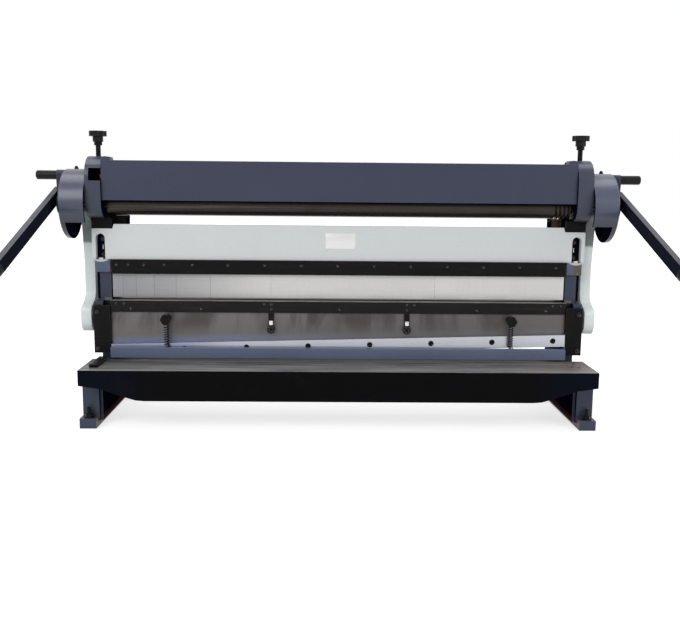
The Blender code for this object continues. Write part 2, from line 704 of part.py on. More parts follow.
def work_table():
    """A grooved plate, with an apron under its front edge that is deeper between the legs."""
    corners = [(TABLE_FRONT, TABLE_TOP - TABLE_T), (TABLE_FRONT, TABLE_TOP)]
    first = TABLE_BACK - GROOVE_BACK - (GROOVES - 1) * GROOVE_PITCH
    for index in range(GROOVES):
        y = first + index * GROOVE_PITCH
        corners += [(y - 0.5 * GROOVE_W, TABLE_TOP), (y, TABLE_TOP - GROOVE_D),
                    (y + 0.5 * GROOVE_W, TABLE_TOP)]
    corners += [(TABLE_BACK, TABLE_TOP), (TABLE_BACK, TABLE_TOP - TABLE_T)]
    table = add("work_table", plate("work_table", [corners], "X", -TABLE_HALF, TABLE_HALF),
                "black_paint")
    depth = APRON_LOW - APRON_DEEP
    right = [(FRAME_IN * share, APRON_DEEP + depth * rise) for share, rise in DEEP_SHARES]
    right = [(TABLE_HALF, APRON_LOW)] + right
    top = TABLE_TOP - HIDDEN * TABLE_T
    apron = [(-TABLE_HALF, top)] + [(-x, z) for x, z in right] + right[::-1] + [(TABLE_HALF, top)]
    join(table, plate("apron", [apron], "Y", TABLE_FRONT, TABLE_FRONT + APRON_T), "apron")
    places = [(TABLE_HALF - inset, TABLE_FRONT + fore, TABLE_TOP)
              for inset, fore in zip(TABLE_HOLE_INSETS, TABLE_HOLE_FORES)]
    drill(table, places, TABLE_HOLE_R, "+Z", -TABLE_HOLE_D, OVERRUN, "gauge_holes", 8)


def lower_knife():
    z_low = TABLE_TOP - LOWER_KNIFE_H
    knife = add("lower_knife", block("lower_knife", (-WORK_HALF, WORK_HALF),
                                     (LOWER_KNIFE_BACK - KNIFE_T, LOWER_KNIFE_BACK),
                                     (z_low, TABLE_TOP)), "ground_steel")
    middle = TABLE_TOP - 0.5 * LOWER_KNIFE_H
    places = [(x, LOWER_KNIFE_BACK, middle) for x in even_places(LOWER_KNIFE_SCREWS, WORK_HALF)]
    drill(knife, places, KNIFE_SCREW_R + SLIDE_CLEAR, "+Y", -KNIFE_T - OVERRUN, OVERRUN,
          "lower_knife_holes", 6)
    drill(knife, places, KNIFE_BORE_R, "+Y", -KNIFE_BORE_D, OVERRUN, "lower_knife_bores", 8)


def side_gauge():
    left = GAUGE_INSET - TABLE_HALF
    front = TABLE_FRONT + GAUGE_FORE
    add("side_gauge", block("side_gauge", (left, left + GAUGE_W), (front, front + GAUGE_L),
                            (TABLE_TOP + SEAT, TABLE_TOP + SEAT + GAUGE_H)), "black_oxide")


# The ram and what it carries

TONGUE_DROP = 0.049          # tongue below the pin's axis
TONGUE_RISE = 0.023          # and above it
PIN_BURY = 0.040             # pin inside the ram's end
PIN_IN = RAM_HALF - PIN_BURY
PIN_CAP = 0.004
GUIDE_HEAD_R = 0.0156
GUIDE_HEAD_H = 0.009
GUIDE_DEPTH = 0.015
HEAD_REACH = 0.0075          # from a stud's middle to the back of the guide bolt's head
DIE_SHANK_R = 0.003
DIE_SHANK_L = 0.010
DIE_UPPER_SHARES = (0.977, 0.942, 0.330, 0.298)
DIE_LOWER_SHARES = (0.912, 0.606, 0.298)
DIE_ROW_SHARES = (0.72, 0.30)        # heights of the two screw rows, of the die's height
STRAP_SHARE = 0.299          # place of a strap, as a share of half the working width
STRAP_X = STRAP_SHARE * WORK_HALF
STRAP_W = 0.0155
STRAP_T = 0.008
STRAP_H = 0.0555
STRAP_LOW = RAM_TOP - STRAP_H
STRAP_SCREW_RISE = 0.008     # from the strap's lower end
STRAP_HOLE_R = 0.005
HOLD_BACK = CUT_Y - HOLD_CLEAR
HOLD_FRONT = HOLD_BACK - HOLD_T
POST_Y = 0.5 * (HOLD_BACK + HOLD_FRONT)
HOLD_LOW = TABLE_TOP + HOLD_LIFT
STUD_DEPTH = 0.020
STUD_COLLAR_R = 0.007
STUD_COLLAR_H = 0.004


def rake_at(x):
    """Height of the raked knife's lower edge."""
    return KNIFE_LOW_LEFT + KNIFE_RAKE * (x + WORK_HALF) / (2 * WORK_HALF)


def ram():
    """A plate with a stiffening rib behind it, raked below, and a tongue at each end."""
    lowest = rake_at(-RAM_HALF) + KNIFE_OVERHANG
    highest = rake_at(RAM_HALF) + KNIFE_OVERHANG
    section = [(0, lowest), (0, RAM_TOP), (RAM_RIB_BACK, RAM_TOP), (RAM_RIB_BACK, RAM_RIB_LOW),
               (RAM_T, RAM_RIB_LOW), (RAM_T, lowest)]
    body = add("ram", plate("ram", [section], "X", -RAM_HALF, RAM_HALF), "bare_steel", RAM_GUIDE)
    past = (highest - lowest) / (2 * RAM_HALF) * OVERRUN
    below = [(-RAM_HALF - OVERRUN, lowest - OVERRUN), (RAM_HALF + OVERRUN, lowest - OVERRUN),
             (RAM_HALF + OVERRUN, highest + past), (-RAM_HALF - OVERRUN, lowest - past)]
    cut(body, plate("rake", [below], "Y", -OVERRUN, RAM_T + OVERRUN), "rake")
    for side, sign in SIDES:
        tongue = block("tongue", span(sign, RAM_HALF - RAM_TONGUE, TONGUE_END),
                       (SEAT, RAM_T - SEAT), (PIN_Z - TONGUE_DROP, PIN_Z + TONGUE_RISE))
        join(body, tongue, "tongue_" + side)
        hole = rod_profile(PIN_R + SEAT, PIN_IN - SEAT, TONGUE_END + OVERRUN)
        cut(body, turned("pin_hole", hole, (0, PIN_Y, PIN_Z), OUTWARD[sign], 24),
            "pin_hole_" + side)
    drill(body, [(sign * POST_X, 0, POST_Z) for side, sign in SIDES], GUIDE_R + SEAT, "-Y",
          -GUIDE_DEPTH - SEAT, OVERRUN, "guide_holes", 16)


def upper_knife():
    outline = [(-WORK_HALF, rake_at(-WORK_HALF)), (WORK_HALF, rake_at(WORK_HALF)),
               (WORK_HALF, rake_at(WORK_HALF) + UPPER_KNIFE_H),
               (-WORK_HALF, rake_at(-WORK_HALF) + UPPER_KNIFE_H)]
    knife = add("upper_knife", plate("upper_knife", [outline], "Y", CUT_Y, -SEAT),
                "ground_steel", RAM_GUIDE)
    places = [(x, CUT_Y, rake_at(x) + 0.5 * UPPER_KNIFE_H)
              for x in (share * WORK_HALF for share in UPPER_KNIFE_SHARES)]
    drill(knife, places, KNIFE_SCREW_R + SLIDE_CLEAR, "-Y", -KNIFE_T - OVERRUN, OVERRUN,
          "upper_knife_holes", 6)
    drill(knife, places, KNIFE_BORE_R, "-Y", -KNIFE_BORE_D, OVERRUN, "upper_knife_bores", 8)


def die_places():
    """Screw places in the die's front face: a row near its top and a row near its bottom."""
    upper_z = DIE_LOW + DIE_ROW_SHARES[0] * DIE_H
    lower_z = DIE_LOW + DIE_ROW_SHARES[1] * DIE_H
    places = [(0, DIE_FRONT, lower_z)]
    for sign in (-1, 1):
        places += [(sign * share * WORK_HALF, DIE_FRONT, upper_z) for share in DIE_UPPER_SHARES]
        places += [(sign * share * WORK_HALF, DIE_FRONT, lower_z) for share in DIE_LOWER_SHARES]
    return places


def vee_die():
    outline = [(DIE_FRONT, DIE_LOW), (DIE_FRONT, DIE_TOP), (VEE_Y - 0.5 * VEE_W, DIE_TOP),
               (VEE_Y, DIE_TOP - VEE_D), (VEE_Y + 0.5 * VEE_W, DIE_TOP), (DIE_BACK, DIE_TOP),
               (DIE_BACK, DIE_LOW)]
    die = add("v_die", plate("v_die", [outline], "X", -WORK_HALF, WORK_HALF), "black_oxide",
              RAM_GUIDE)
    drill(die, die_places(), DIE_SHANK_R + SLIDE_CLEAR, "-Y", -DIE_SHANK_L - SEAT, OVERRUN,
          "die_holes", 6)


def die_strap(side, sign):
    name = "die_strap_" + side
    middle = sign * STRAP_X
    strap = block(name, (middle - 0.5 * STRAP_W, middle + 0.5 * STRAP_W),
                  (-SEAT - STRAP_T, -SEAT), (STRAP_LOW, RAM_TOP))
    made = add(name, strap, "black_oxide", RAM_GUIDE)
    drill(made, [(middle, 0, STRAP_LOW + STRAP_SCREW_RISE)], STRAP_HOLE_R, "-Y",
          -OVERRUN, STRAP_T + OVERRUN, "strap_hole_" + side, 12)


def guide_bolt(side, sign):
    """A hex-headed bolt in the ram; the hold-down stud slides up through its shank."""
    name = "guide_bolt_" + side
    shank_front = POST_Y - HEAD_REACH
    place = (sign * POST_X, 0, POST_Z)
    shank = rod_profile(GUIDE_R, -GUIDE_DEPTH, -shank_front + HIDDEN * GUIDE_HEAD_H)
    head = rod_profile(GUIDE_HEAD_R, -shank_front, -shank_front + GUIDE_HEAD_H)
    bolt = add(name, turned(name, shank, place, "-Y", 16), "black_oxide", RAM_GUIDE)
    join(bolt, turned(name, head, place, "-Y", 6), "guide_head_" + side)
    drill(bolt, [(sign * POST_X, POST_Y, POST_Z)], STUD_R + SLIDE_CLEAR, "+Z", -2 * GUIDE_R,
          2 * GUIDE_R, "stud_hole_" + side, 10)


def rod_pin(side, sign):
    name = "rod_pin_" + side
    profile = rod_profile(PIN_R, PIN_IN, ROD_IN + ROD_T + PIN_CAP)
    add(name, turned(name, profile, (0, PIN_Y, PIN_Z), OUTWARD[sign], 20), "bare_steel", RAM_GUIDE)


SHANK_W = 0.049              # of the rod's shank, above its eye
SHANK_AFT = 0.060            # from the axis back to the shank's rear edge
SHANK_BACK = AXIS_Y + SHANK_AFT
SHANK_FRONT = SHANK_BACK - SHANK_W
WAIST_SET = 0.002            # the front edge draws in this far at half height
TOP_SET = 0.013              # and comes forward this far under the yoke


def connecting_rod(side, sign):
    name = "connecting_rod_" + side
    yoke_z = AXIS_Z + THROW
    half_w = ECC_R + THROW + YOKE_SLACK
    top = yoke_z + YOKE_SLOT_HALF_H + YOKE_WALL
    low = yoke_z - YOKE_SLOT_HALF_H - YOKE_WALL
    outer = half_w + YOKE_WALL
    nose = PIN_Y - ROD_EYE_R
    bottom = PIN_Z - ROD_EYE_R
    corners = [
        (nose, bottom, ROD_EYE_R), (nose, PIN_Z + 1.1 * ROD_EYE_R, 0.5 * ROD_EYE_R),
        (SHANK_FRONT, PIN_Z + 1.9 * ROD_EYE_R, ROD_EYE_R),
        (SHANK_FRONT + WAIST_SET, 0.5 * (PIN_Z + low), 0),
        (SHANK_FRONT - TOP_SET, low - ROD_EYE_R, ROD_EYE_R),
        (AXIS_Y - outer, low, YOKE_CORNER_R), (AXIS_Y - outer, top, YOKE_CORNER_R),
        (AXIS_Y + outer, top, YOKE_CORNER_R), (AXIS_Y + outer, low, YOKE_CORNER_R),
        (SHANK_BACK, low - ROD_EYE_R, ROD_EYE_R), (SHANK_BACK, PIN_Z + 1.9 * ROD_EYE_R, ROD_EYE_R),
        (PIN_Y + ROD_EYE_R, bottom, ROD_EYE_R)]
    slot = stadium(AXIS_Y, yoke_z, half_w, YOKE_SLOT_HALF_H)
    bore = circle_points(PIN_Y, PIN_Z, PIN_R + SLIDE_CLEAR)
    mesh = plate(name, [rounded(corners), slot, bore], "X", *span(sign, ROD_IN, ROD_IN + ROD_T))
    add(name, mesh, "grey_paint", RAM_GUIDE)


def hold_down():
    bar = add("hold_down_bar", block("hold_down_bar", (-HOLD_HALF, HOLD_HALF),
                                     (HOLD_FRONT, HOLD_BACK), (HOLD_LOW, HOLD_LOW + HOLD_H)),
              "bar_blue_grey", HOLD_GUIDE)
    places = {side: (sign * POST_X, POST_Y, HOLD_LOW + HOLD_H) for side, sign in SIDES}
    drill(bar, places.values(), STUD_R + SEAT, "+Z", -STUD_DEPTH - SEAT, OVERRUN, "stud_seats", 10)
    seat = POST_Z + GUIDE_R + SEAT - HOLD_LOW - HOLD_H
    profile = ((0, seat + STUD_COLLAR_H), (STUD_COLLAR_R, seat + STUD_COLLAR_H),
               (STUD_COLLAR_R, seat), (STUD_R, seat), (STUD_R, -STUD_DEPTH), (0, -STUD_DEPTH))
    for side, place in places.items():
        name = "hold_down_stud_" + side
        add(name, turned(name, profile, place, "+Z", 10), "bare_steel", HOLD_GUIDE)


def spring_route(x):
    """A coil from the bar's top to the guide bolt, with a straight stretch at each end."""
    low = HOLD_LOW + HOLD_H + SEAT
    high = POST_Z - GUIDE_R - SEAT
    straight = 2 * SPRING_WIRE_R
    first = low + straight + SPRING_WIRE_R
    last = high - straight - SPRING_WIRE_R
    count = SPRING_TURNS * SPRING_POINTS
    points = [Vector((x + SPRING_COIL_R, POST_Y, low))]
    for index in range(count + 1):
        angle = 2 * math.pi * index / SPRING_POINTS
        rise = first + (last - first) * index / count
        points.append(Vector((x + SPRING_COIL_R * math.cos(angle),
                              POST_Y + SPRING_COIL_R * math.sin(angle), rise)))
    points.append(Vector((x + SPRING_COIL_R, POST_Y, high)))
    return points


def least_gap(points):
    """The least gap between turns of the spring, from points a good part of a turn apart."""
    apart = SPRING_POINTS // 2
    return min((one - other).length for index, one in enumerate(points)
               for other in points[index + apart:]) - 2 * SPRING_WIRE_R


def springs():
    for side, sign in SIDES:
        name = "hold_down_spring_" + side
        points = spring_route(sign * POST_X)
        curve = bpy.data.curves.new(name, "CURVE")
        curve.dimensions = "3D"
        curve.bevel_depth = SPRING_WIRE_R
        curve.bevel_resolution = 1
        curve.use_fill_caps = True
        spline = curve.splines.new("POLY")
        spline.points.add(len(points) - 1)
        for point, place in zip(spline.points, points):
            point.co = (*place, 1.0)
        add(name, curve, "black_oxide", RAM_GUIDE)
        print(name, "least gap between turns (m):", round(least_gap(points), 5))


# Gib plates, the upper beam, the clamp bar and the fingers

CLAMP_SET = 0.002            # from the beam's face back to the clamp bar's rear face
CLAMP_BACK = BEAM_FRONT + CLAMP_SET
FINGER_FRONT = CLAMP_BACK + SEAT
FINGER_BACK = FINGER_FRONT + FINGER_T
FINGER_TIP_W = 0.004
VEE_Y = FINGER_FRONT + 0.5 * FINGER_TIP_W
FINGER_TIP_H = 0.009
BODY_DROP = 0.0066           # from the beam's top to the body behind it
NOSE_SET = 0.0011            # from the clamp bar's lower edge up to that body's
BEAM_CORNER_R = 0.004
CLAMP_SHANK_R = 0.003
CLAMP_SHANK_L = 0.012
CLAMP_SCREW_RISE = 0.0266    # from the clamp bar's lower edge
CLAMP_SCREW_Z = CLAMP_LOW + CLAMP_SCREW_RISE
FINGER_SLOT_CLEAR = 0.001
SEAT_SET = 0.001             # from the web's inner face to the beam's seat
SEAT_W = 0.044
SEAT_IN = FRAME_IN + SEAT_SET
SEAT_OUT = SEAT_IN + SEAT_W
SEAT_LIP = 0.006             # how far it stands out in front of the beam
SEAT_FRONT = BEAM_FRONT - SEAT_LIP


def gib_plate(side, sign):
    name = "gib_plate_" + side
    gib = add(name, block(name, span(sign, GIB_IN, PAD_OUT), (-SEAT - GIB_T, -SEAT),
                          (PAD_BOTTOM, GIB_TOP)), "black_oxide")
    drill(gib, [(sign * GIB_SCREW_X, 0, z) for z in GIB_SCREW_Z], GIB_SHANK_R + SLIDE_CLEAR,
          "-Y", -OVERRUN, GIB_T + OVERRUN, "gib_plate_holes_" + side, 8)


def upper_beam():
    """A front panel with an open slot at each end, and a body behind it that backs the fingers."""
    half_slot = 0.5 * SLOT_W
    right = [(SLOT_X - half_slot, BEAM_LOW, 0), (SLOT_X - half_slot, SLOT_TOP, half_slot),
             (SLOT_X + half_slot, SLOT_TOP, half_slot), (SLOT_X + half_slot, BEAM_LOW, 0),
             (BEAM_HALF, BEAM_LOW, 0), (BEAM_HALF, WEB_TOP, BEAM_CORNER_R),
             (NOTCH_IN, WEB_TOP, 0), (NOTCH_IN - NOTCH_SLOPE, BEAM_TOP, 0)]
    outline = rounded(right + mirrored(-1, right))
    beam = add("upper_beam", plate("upper_beam", [outline], "Y", BEAM_FRONT, BEAM_FRONT + BEAM_T),
               "grey_paint")
    body = block("beam_body", (SEAT - NOTCH_IN, NOTCH_IN - SEAT),
                 (FINGER_BACK + SEAT, BEAM_BODY_BACK),
                 (CLAMP_LOW + NOSE_SET, BEAM_TOP - BODY_DROP))
    join(beam, body, "beam_body")
    drill(beam, [(x, FINGER_BACK, CLAMP_SCREW_Z) for x in clamp_places()],
          CLAMP_SHANK_R + SLIDE_CLEAR, "-Y", -CLAMP_SHANK_L, OVERRUN, "beam_screw_holes", 6)


def clamp_places():
    """One screw to each narrow finger, and an even row over the wide ones."""
    places = []
    edge = -WORK_HALF
    for width in FINGER_WIDTHS[:5]:
        places.append(edge + 0.5 * width)
        edge += width
    first = edge + 0.5 * CLAMP_SCREW_PITCH
    count = int((WORK_HALF - first) / CLAMP_SCREW_PITCH) + 1
    places += [first + CLAMP_SCREW_PITCH * index for index in range(count)]
    return places


def clamp_bar():
    bar = add("clamp_bar", block("clamp_bar", (-CLAMP_HALF, CLAMP_HALF),
                                 (CLAMP_BACK - CLAMP_T, CLAMP_BACK),
                                 (CLAMP_LOW, BEAM_LOW - SEAT)), "black_oxide")
    drill(bar, [(x, CLAMP_BACK, CLAMP_SCREW_Z) for x in clamp_places()],
          CLAMP_SHANK_R + SLIDE_CLEAR, "-Y", -OVERRUN, CLAMP_T + OVERRUN, "clamp_holes", 6)


def fingers():
    """Each finger is slotted from its top, so that it drops out when its screws are slack."""
    edge = -WORK_HALF
    slot_low = CLAMP_SCREW_Z - 2 * CLAMP_SHANK_R
    for index, width in enumerate(FINGER_WIDTHS, start=1):
        low = edge + 0.5 * FINGER_GAP
        high = edge + width - 0.5 * FINGER_GAP
        inside = sorted(x for x in clamp_places() if low < x < high)
        top = [(low, FINGER_TOP)]
        for x in inside:
            near = CLAMP_SHANK_R + FINGER_SLOT_CLEAR
            top += [(x - near, FINGER_TOP), (x - near, slot_low), (x + near, slot_low),
                    (x + near, FINGER_TOP)]
        top.append((high, FINGER_TOP))
        outline = [(low, FINGER_LOW)] + top + [(high, FINGER_LOW)]
        name = "finger_%d" % index
        finger = add(name, plate(name, [outline], "Y", FINGER_FRONT, FINGER_BACK), "finger_steel")
        wedge = [(FINGER_BACK + OVERRUN, FINGER_LOW - OVERRUN),
                 (FINGER_BACK + OVERRUN, FINGER_LOW + FINGER_TIP_H),
                 (FINGER_BACK + SEAT, FINGER_LOW + FINGER_TIP_H),
                 (FINGER_FRONT + FINGER_TIP_W, FINGER_LOW - SEAT)]
        cut(finger, plate(name, [wedge], "X", low - OVERRUN, high + OVERRUN), name)
        edge += width


def beam_seat(side, sign):
    name = "beam_seat_" + side
    add(name, block(name, span(sign, SEAT_IN, SEAT_OUT), (SEAT_FRONT, BEAM_FRONT + BEAM_T),
                    (COLUMN_TOP + SEAT, BEAM_LOW - SEAT)), "ground_steel")


# Roll housings, rolls, gears and knobs

HOUSING_FRONT_R = 0.060
HOUSING_CHIN_R = 0.045
HOUSING_HEEL_R = 0.020
SLOT_SPARE = 0.0005          # room under the bearing block
WINDOW_RISE = 0.0044         # from the upper roll's axis to the window
WINDOW_H = 0.035
WINDOW_W = 0.033
WINDOW_D = 0.053
WINDOW_LOW = UPPER_AXIS_Z + WINDOW_RISE
SEAT_BLOCK_SET = 0.002       # from the beam's face back to the seat block
SEAT_BLOCK_L = 0.114
SEAT_BLOCK_FRONT = BEAM_FRONT + SEAT_BLOCK_SET
SEAT_BLOCK_BACK = SEAT_BLOCK_FRONT + SEAT_BLOCK_L
SEAT_BLOCK_IN = NOTCH_IN + SEAT
STEP_FRONT = BEAM_BODY_BACK + SEAT
STEP_L = 0.029               # of the lug on a seat block's inner side
STEP_W = 0.0547
STEP_H = 0.0265
STEP_OVER = 0.0045           # from the housing's underside up to the lug's top
STEP_IN = NOTCH_IN - STEP_L
STEP_TOP = HOUSING_LOW + STEP_OVER
STEP_PIN_R = 0.0025
STEP_PIN_L = 0.012
IDLER_RUN = 0.028            # length of the idler's journals
IDLER_END = HOUSING_IN + IDLER_RUN


def roll_housing(side, sign):
    name = "roll_housing_" + side
    outline = rounded([
        (HOUSING_FRONT, HOUSING_LOW, HOUSING_CHIN_R), (HOUSING_FRONT, HOUSING_TOP, HOUSING_FRONT_R),
        (HOUSING_BACK, HOUSING_TOP, HOUSING_FRONT_R), (HOUSING_BACK, HOUSING_LOW, HOUSING_HEEL_R)])
    housing = add(name, plate(name, [outline], "X", *span(sign, HOUSING_IN, HOUSING_OUT)),
                  "blue_paint")
    crown = UPPER_AXIS_Z + BLOCK_RISE + GEAR_CAVITY_R
    cavity = rounded([
        (AXIS_Y - GEAR_CAVITY_R, HOUSING_LOW - OVERRUN, 0),
        (AXIS_Y + GEAR_CAVITY_R, HOUSING_LOW - OVERRUN, 0),
        (AXIS_Y + GEAR_CAVITY_R, crown, GEAR_CAVITY_R),
        (AXIS_Y - GEAR_CAVITY_R, crown, GEAR_CAVITY_R)])
    cut(housing, plate(name, [cavity], "X", *span(sign, HOUSING_IN - OVERRUN, WALL_IN)),
        "cavity_" + side)
    wall_x = span(sign, WALL_IN - OVERRUN, HOUSING_OUT + OVERRUN)
    guide_slot = block(name, wall_x,
                       (AXIS_Y - BLOCK_HALF_W - SLIDE_CLEAR, AXIS_Y + BLOCK_HALF_W + SLIDE_CLEAR),
                       (UPPER_AXIS_Z - BLOCK_HALF_H - SLOT_SPARE,
                        UPPER_AXIS_Z + BLOCK_HALF_H + BLOCK_RISE + SLOT_SPARE))
    cut(housing, guide_slot, "block_slot_" + side)
    aim = OUTWARD[sign]
    drill(housing, [(0, AXIS_Y, AXIS_Z)], JOURNAL_R + SLIDE_CLEAR, aim, WALL_IN - OVERRUN,
          HOUSING_OUT + OVERRUN, "journal_hole_" + side, 24)
    drill(housing, [(0, AXIS_Y + IDLER_DY, AXIS_Z + IDLER_DZ)], IDLER_JOURNAL_R + SLIDE_CLEAR, aim,
          HOUSING_IN - OVERRUN, IDLER_END + SEAT, "idler_hole_" + side, 20)
    drill(housing, [(sign * KNOB_X, AXIS_Y, 0)], KNOB_SCREW_R + SLIDE_CLEAR, "+Z",
          UPPER_AXIS_Z + BLOCK_HALF_H, HOUSING_TOP + OVERRUN, "screw_hole_" + side, 16)
    if side == "left":
        window = block(name, span(sign, HOUSING_IN - OVERRUN, HOUSING_IN + WINDOW_W),
                       (HOUSING_FRONT - OVERRUN, HOUSING_FRONT + WINDOW_D),
                       (WINDOW_LOW, WINDOW_LOW + WINDOW_H))
        cut(housing, window, "window")


def housing_seat(side, sign):
    """The block under a roll housing, with a stepped lug and a stop pin on its inner side."""
    name = "housing_seat_" + side
    seat = add(name, block(name, span(sign, SEAT_BLOCK_IN, HOUSING_OUT),
                           (SEAT_BLOCK_FRONT, SEAT_BLOCK_BACK),
                           (WEB_TOP + SEAT, HOUSING_LOW - SEAT)), "black_paint")
    lug = block(name, span(sign, STEP_IN, SEAT_BLOCK_IN + OVERRUN),
                (STEP_FRONT, STEP_FRONT + STEP_W), (STEP_TOP - STEP_H, STEP_TOP))
    join(seat, lug, "seat_lug_" + side)
    pin = turned(name, rod_profile(STEP_PIN_R, STEP_IN - STEP_PIN_L, STEP_IN + OVERRUN),
                 (0, STEP_FRONT + 2 * STEP_PIN_R, STEP_TOP - 2 * STEP_PIN_R), OUTWARD[sign], 8)
    join(seat, pin, "seat_pin_" + side)


TIE_LUG_L = 0.027
TIE_LUG_H = 0.0085


def tie_beam():
    half = HOUSING_IN - SEAT
    back = TIE_Y + TIE_T
    outline = [(TIE_Y, TIE_LOW), (TIE_Y, TIE_TOP), (TIE_FLANGE_BACK, TIE_TOP),
               (TIE_FLANGE_BACK, TIE_TOP - TIE_T), (back, TIE_TOP - TIE_T),
               (back, TIE_LOW + TIE_T), (TIE_FLANGE_BACK, TIE_LOW + TIE_T),
               (TIE_FLANGE_BACK, TIE_LOW)]
    beam = add("tie_beam", plate("tie_beam", [outline], "X", -half, half), "blue_paint")
    bm = bmesh.new()
    for side, sign in SIDES:
        block_into(bm, span(sign, half - TIE_LUG_L, half - SEAT),
                   (TIE_Y + SEAT, TIE_FLANGE_BACK - SEAT),
                   (TIE_TOP - HIDDEN * TIE_T, TIE_TOP + TIE_LUG_H))
    join(beam, mesh_from(bm, "tie_lugs"), "tie_lugs")


WIRE_GROOVES = 4
WIRE_GROOVE_INSET = 0.007    # from the roll's right end
WIRE_GROOVE_LAST = ROLL_HALF - WIRE_GROOVE_INSET
JOURNAL_END = HOUSING_OUT - SEAT


def roll_profile(journal_r, journal_end, grooved):
    """Half above the middle carries the wire grooves, if the roll has them."""
    profile = [(0, journal_end), (journal_r, journal_end), (journal_r, ROLL_HALF),
               (ROLL_R, ROLL_HALF)]
    if grooved:
        for index in range(WIRE_GROOVES):
            x = WIRE_GROOVE_LAST - index * WIRE_GROOVE_PITCH
            profile += [(ROLL_R, x + WIRE_GROOVE_R), (ROLL_R - WIRE_GROOVE_R, x),
                        (ROLL_R, x - WIRE_GROOVE_R)]
    profile += [(ROLL_R, -ROLL_HALF), (journal_r, -ROLL_HALF), (journal_r, -journal_end),
                (0, -journal_end)]
    return profile


def rolls():
    add("lower_roll", turned("lower_roll", roll_profile(JOURNAL_R, JOURNAL_END, True),
                             (0, AXIS_Y, AXIS_Z), "+X", 24), "roll_steel", LOWER_AXIS)
    add("upper_roll", turned("upper_roll", roll_profile(JOURNAL_R, JOURNAL_END, False),
                             (0, AXIS_Y, UPPER_AXIS_Z), "+X", 24), "roll_steel", UPPER_AXIS)
    add("idler_roll", turned("idler_roll", roll_profile(IDLER_JOURNAL_R, IDLER_END, False),
                             (0, AXIS_Y + IDLER_DY, AXIS_Z + IDLER_DZ), "+X", 24),
        "roll_steel", IDLER_AXIS)


GEAR_SHARES = (0.32, 0.235, 0.115)   # half widths at root, pitch line and tip, of a tooth pitch


def gear_outline(z, phase):
    pitch_r = 0.5 * (UPPER_AXIS_Z - AXIS_Z)
    step = 2 * math.pi / GEAR_TEETH
    radii = (pitch_r - GEAR_DED, pitch_r, pitch_r + GEAR_ADD)
    points = []
    for tooth in range(GEAR_TEETH):
        middle = (tooth + phase) * step
        flank = [(radius, share * step) for radius, share in zip(radii, GEAR_SHARES)]
        for radius, off in flank:
            points.append(Vector((AXIS_Y + radius * math.cos(middle - off),
                                  z + radius * math.sin(middle - off))))
        for radius, off in reversed(flank):
            points.append(Vector((AXIS_Y + radius * math.cos(middle + off),
                                  z + radius * math.sin(middle + off))))
    return points


def gears():
    low = HOUSING_IN + 0.5 * (WALL_IN - HOUSING_IN - GEAR_W)
    for name, z, phase, axis in (("lower_roll_gear", AXIS_Z, 0.0, LOWER_AXIS),
                                 ("upper_roll_gear", UPPER_AXIS_Z, 0.5, UPPER_AXIS)):
        bore = circle_points(AXIS_Y, z, JOURNAL_R + SEAT)
        add(name, plate(name, [gear_outline(z, phase), bore], "X", low, low + GEAR_W),
            "bare_steel", axis)


def bearing_block(side, sign):
    name = "bearing_block_" + side
    made = add(name, block(name, span(sign, WALL_IN + SEAT, HOUSING_OUT - SEAT),
                           (AXIS_Y - BLOCK_HALF_W, AXIS_Y + BLOCK_HALF_W),
                           (UPPER_AXIS_Z - BLOCK_HALF_H, UPPER_AXIS_Z + BLOCK_HALF_H)),
               "bronze", BLOCK_GUIDES[side])
    drill(made, [(0, AXIS_Y, UPPER_AXIS_Z)], JOURNAL_R + SLIDE_CLEAR, OUTWARD[sign],
          WALL_IN - OVERRUN, HOUSING_OUT + OVERRUN, "block_bore_" + side, 24)


KNOB_LOBE_SHARE = 0.10


def knob(side, sign):
    """A star knob on its screw, with a lock nut under the hub."""
    name = "knob_screw_" + side
    low = UPPER_AXIS_Z + BLOCK_HALF_H + SEAT
    head_low = KNOB_TOP - KNOB_HEAD_H
    hub_low = head_low - KNOB_HUB_H
    profile = [(0, head_low + OVERRUN), (KNOB_HUB_R, head_low + OVERRUN), (KNOB_HUB_R, hub_low),
               (KNOB_SCREW_R, hub_low), (KNOB_SCREW_R, low), (0, low)]
    screw = add(name, turned(name, profile, (sign * KNOB_X, AXIS_Y, 0), "+Z", 16),
                "black_plastic", KNOB_AXES[side])
    nut = turned(name, rod_profile(NUT_R, NUT_Z - 0.5 * NUT_H, NUT_Z + 0.5 * NUT_H),
                 (sign * KNOB_X, AXIS_Y, 0), "+Z", 6)
    join(screw, nut, "nut_" + side)
    rim = []
    steps = 6 * KNOB_LOBES
    for index in range(steps):
        angle = 2 * math.pi * index / steps
        radius = KNOB_HEAD_R * (1 - KNOB_LOBE_SHARE * (0.5 - 0.5 * math.cos(KNOB_LOBES * angle)))
        rim.append(Vector((sign * KNOB_X + radius * math.cos(angle),
                           AXIS_Y + radius * math.sin(angle))))
    join(screw, plate(name, [rim], "Z", head_low, KNOB_TOP), "head_" + side)


# Drums, eccentrics and levers

DRUM_CHAMFER = 0.003
LUG_SINK = 0.002             # how far a lug reaches into the rim
LUG_REACH = DRUM_R - DRUM_WALL - LUG_R + LUG_SINK
LUG_TURNS = (0.0, 0.25, 0.5)
DRUM_SHANK_R = 0.004
ECC_SIDE = 0.0023            # from the rod's inner face to the eccentric
ECC_LIP = 0.0035             # how far the eccentric stands out past the rod
BOSS_CLEAR = 0.001           # from the eccentric to the drum's boss
ECC_OUT = ROD_IN + ROD_T + ECC_LIP
BOSS_IN = ECC_OUT + BOSS_CLEAR
ARM_SKIN = 0.003             # arm left over the end of the shaft
SHAFT_END = ARM_X1 - ARM_SKIN - SEAT


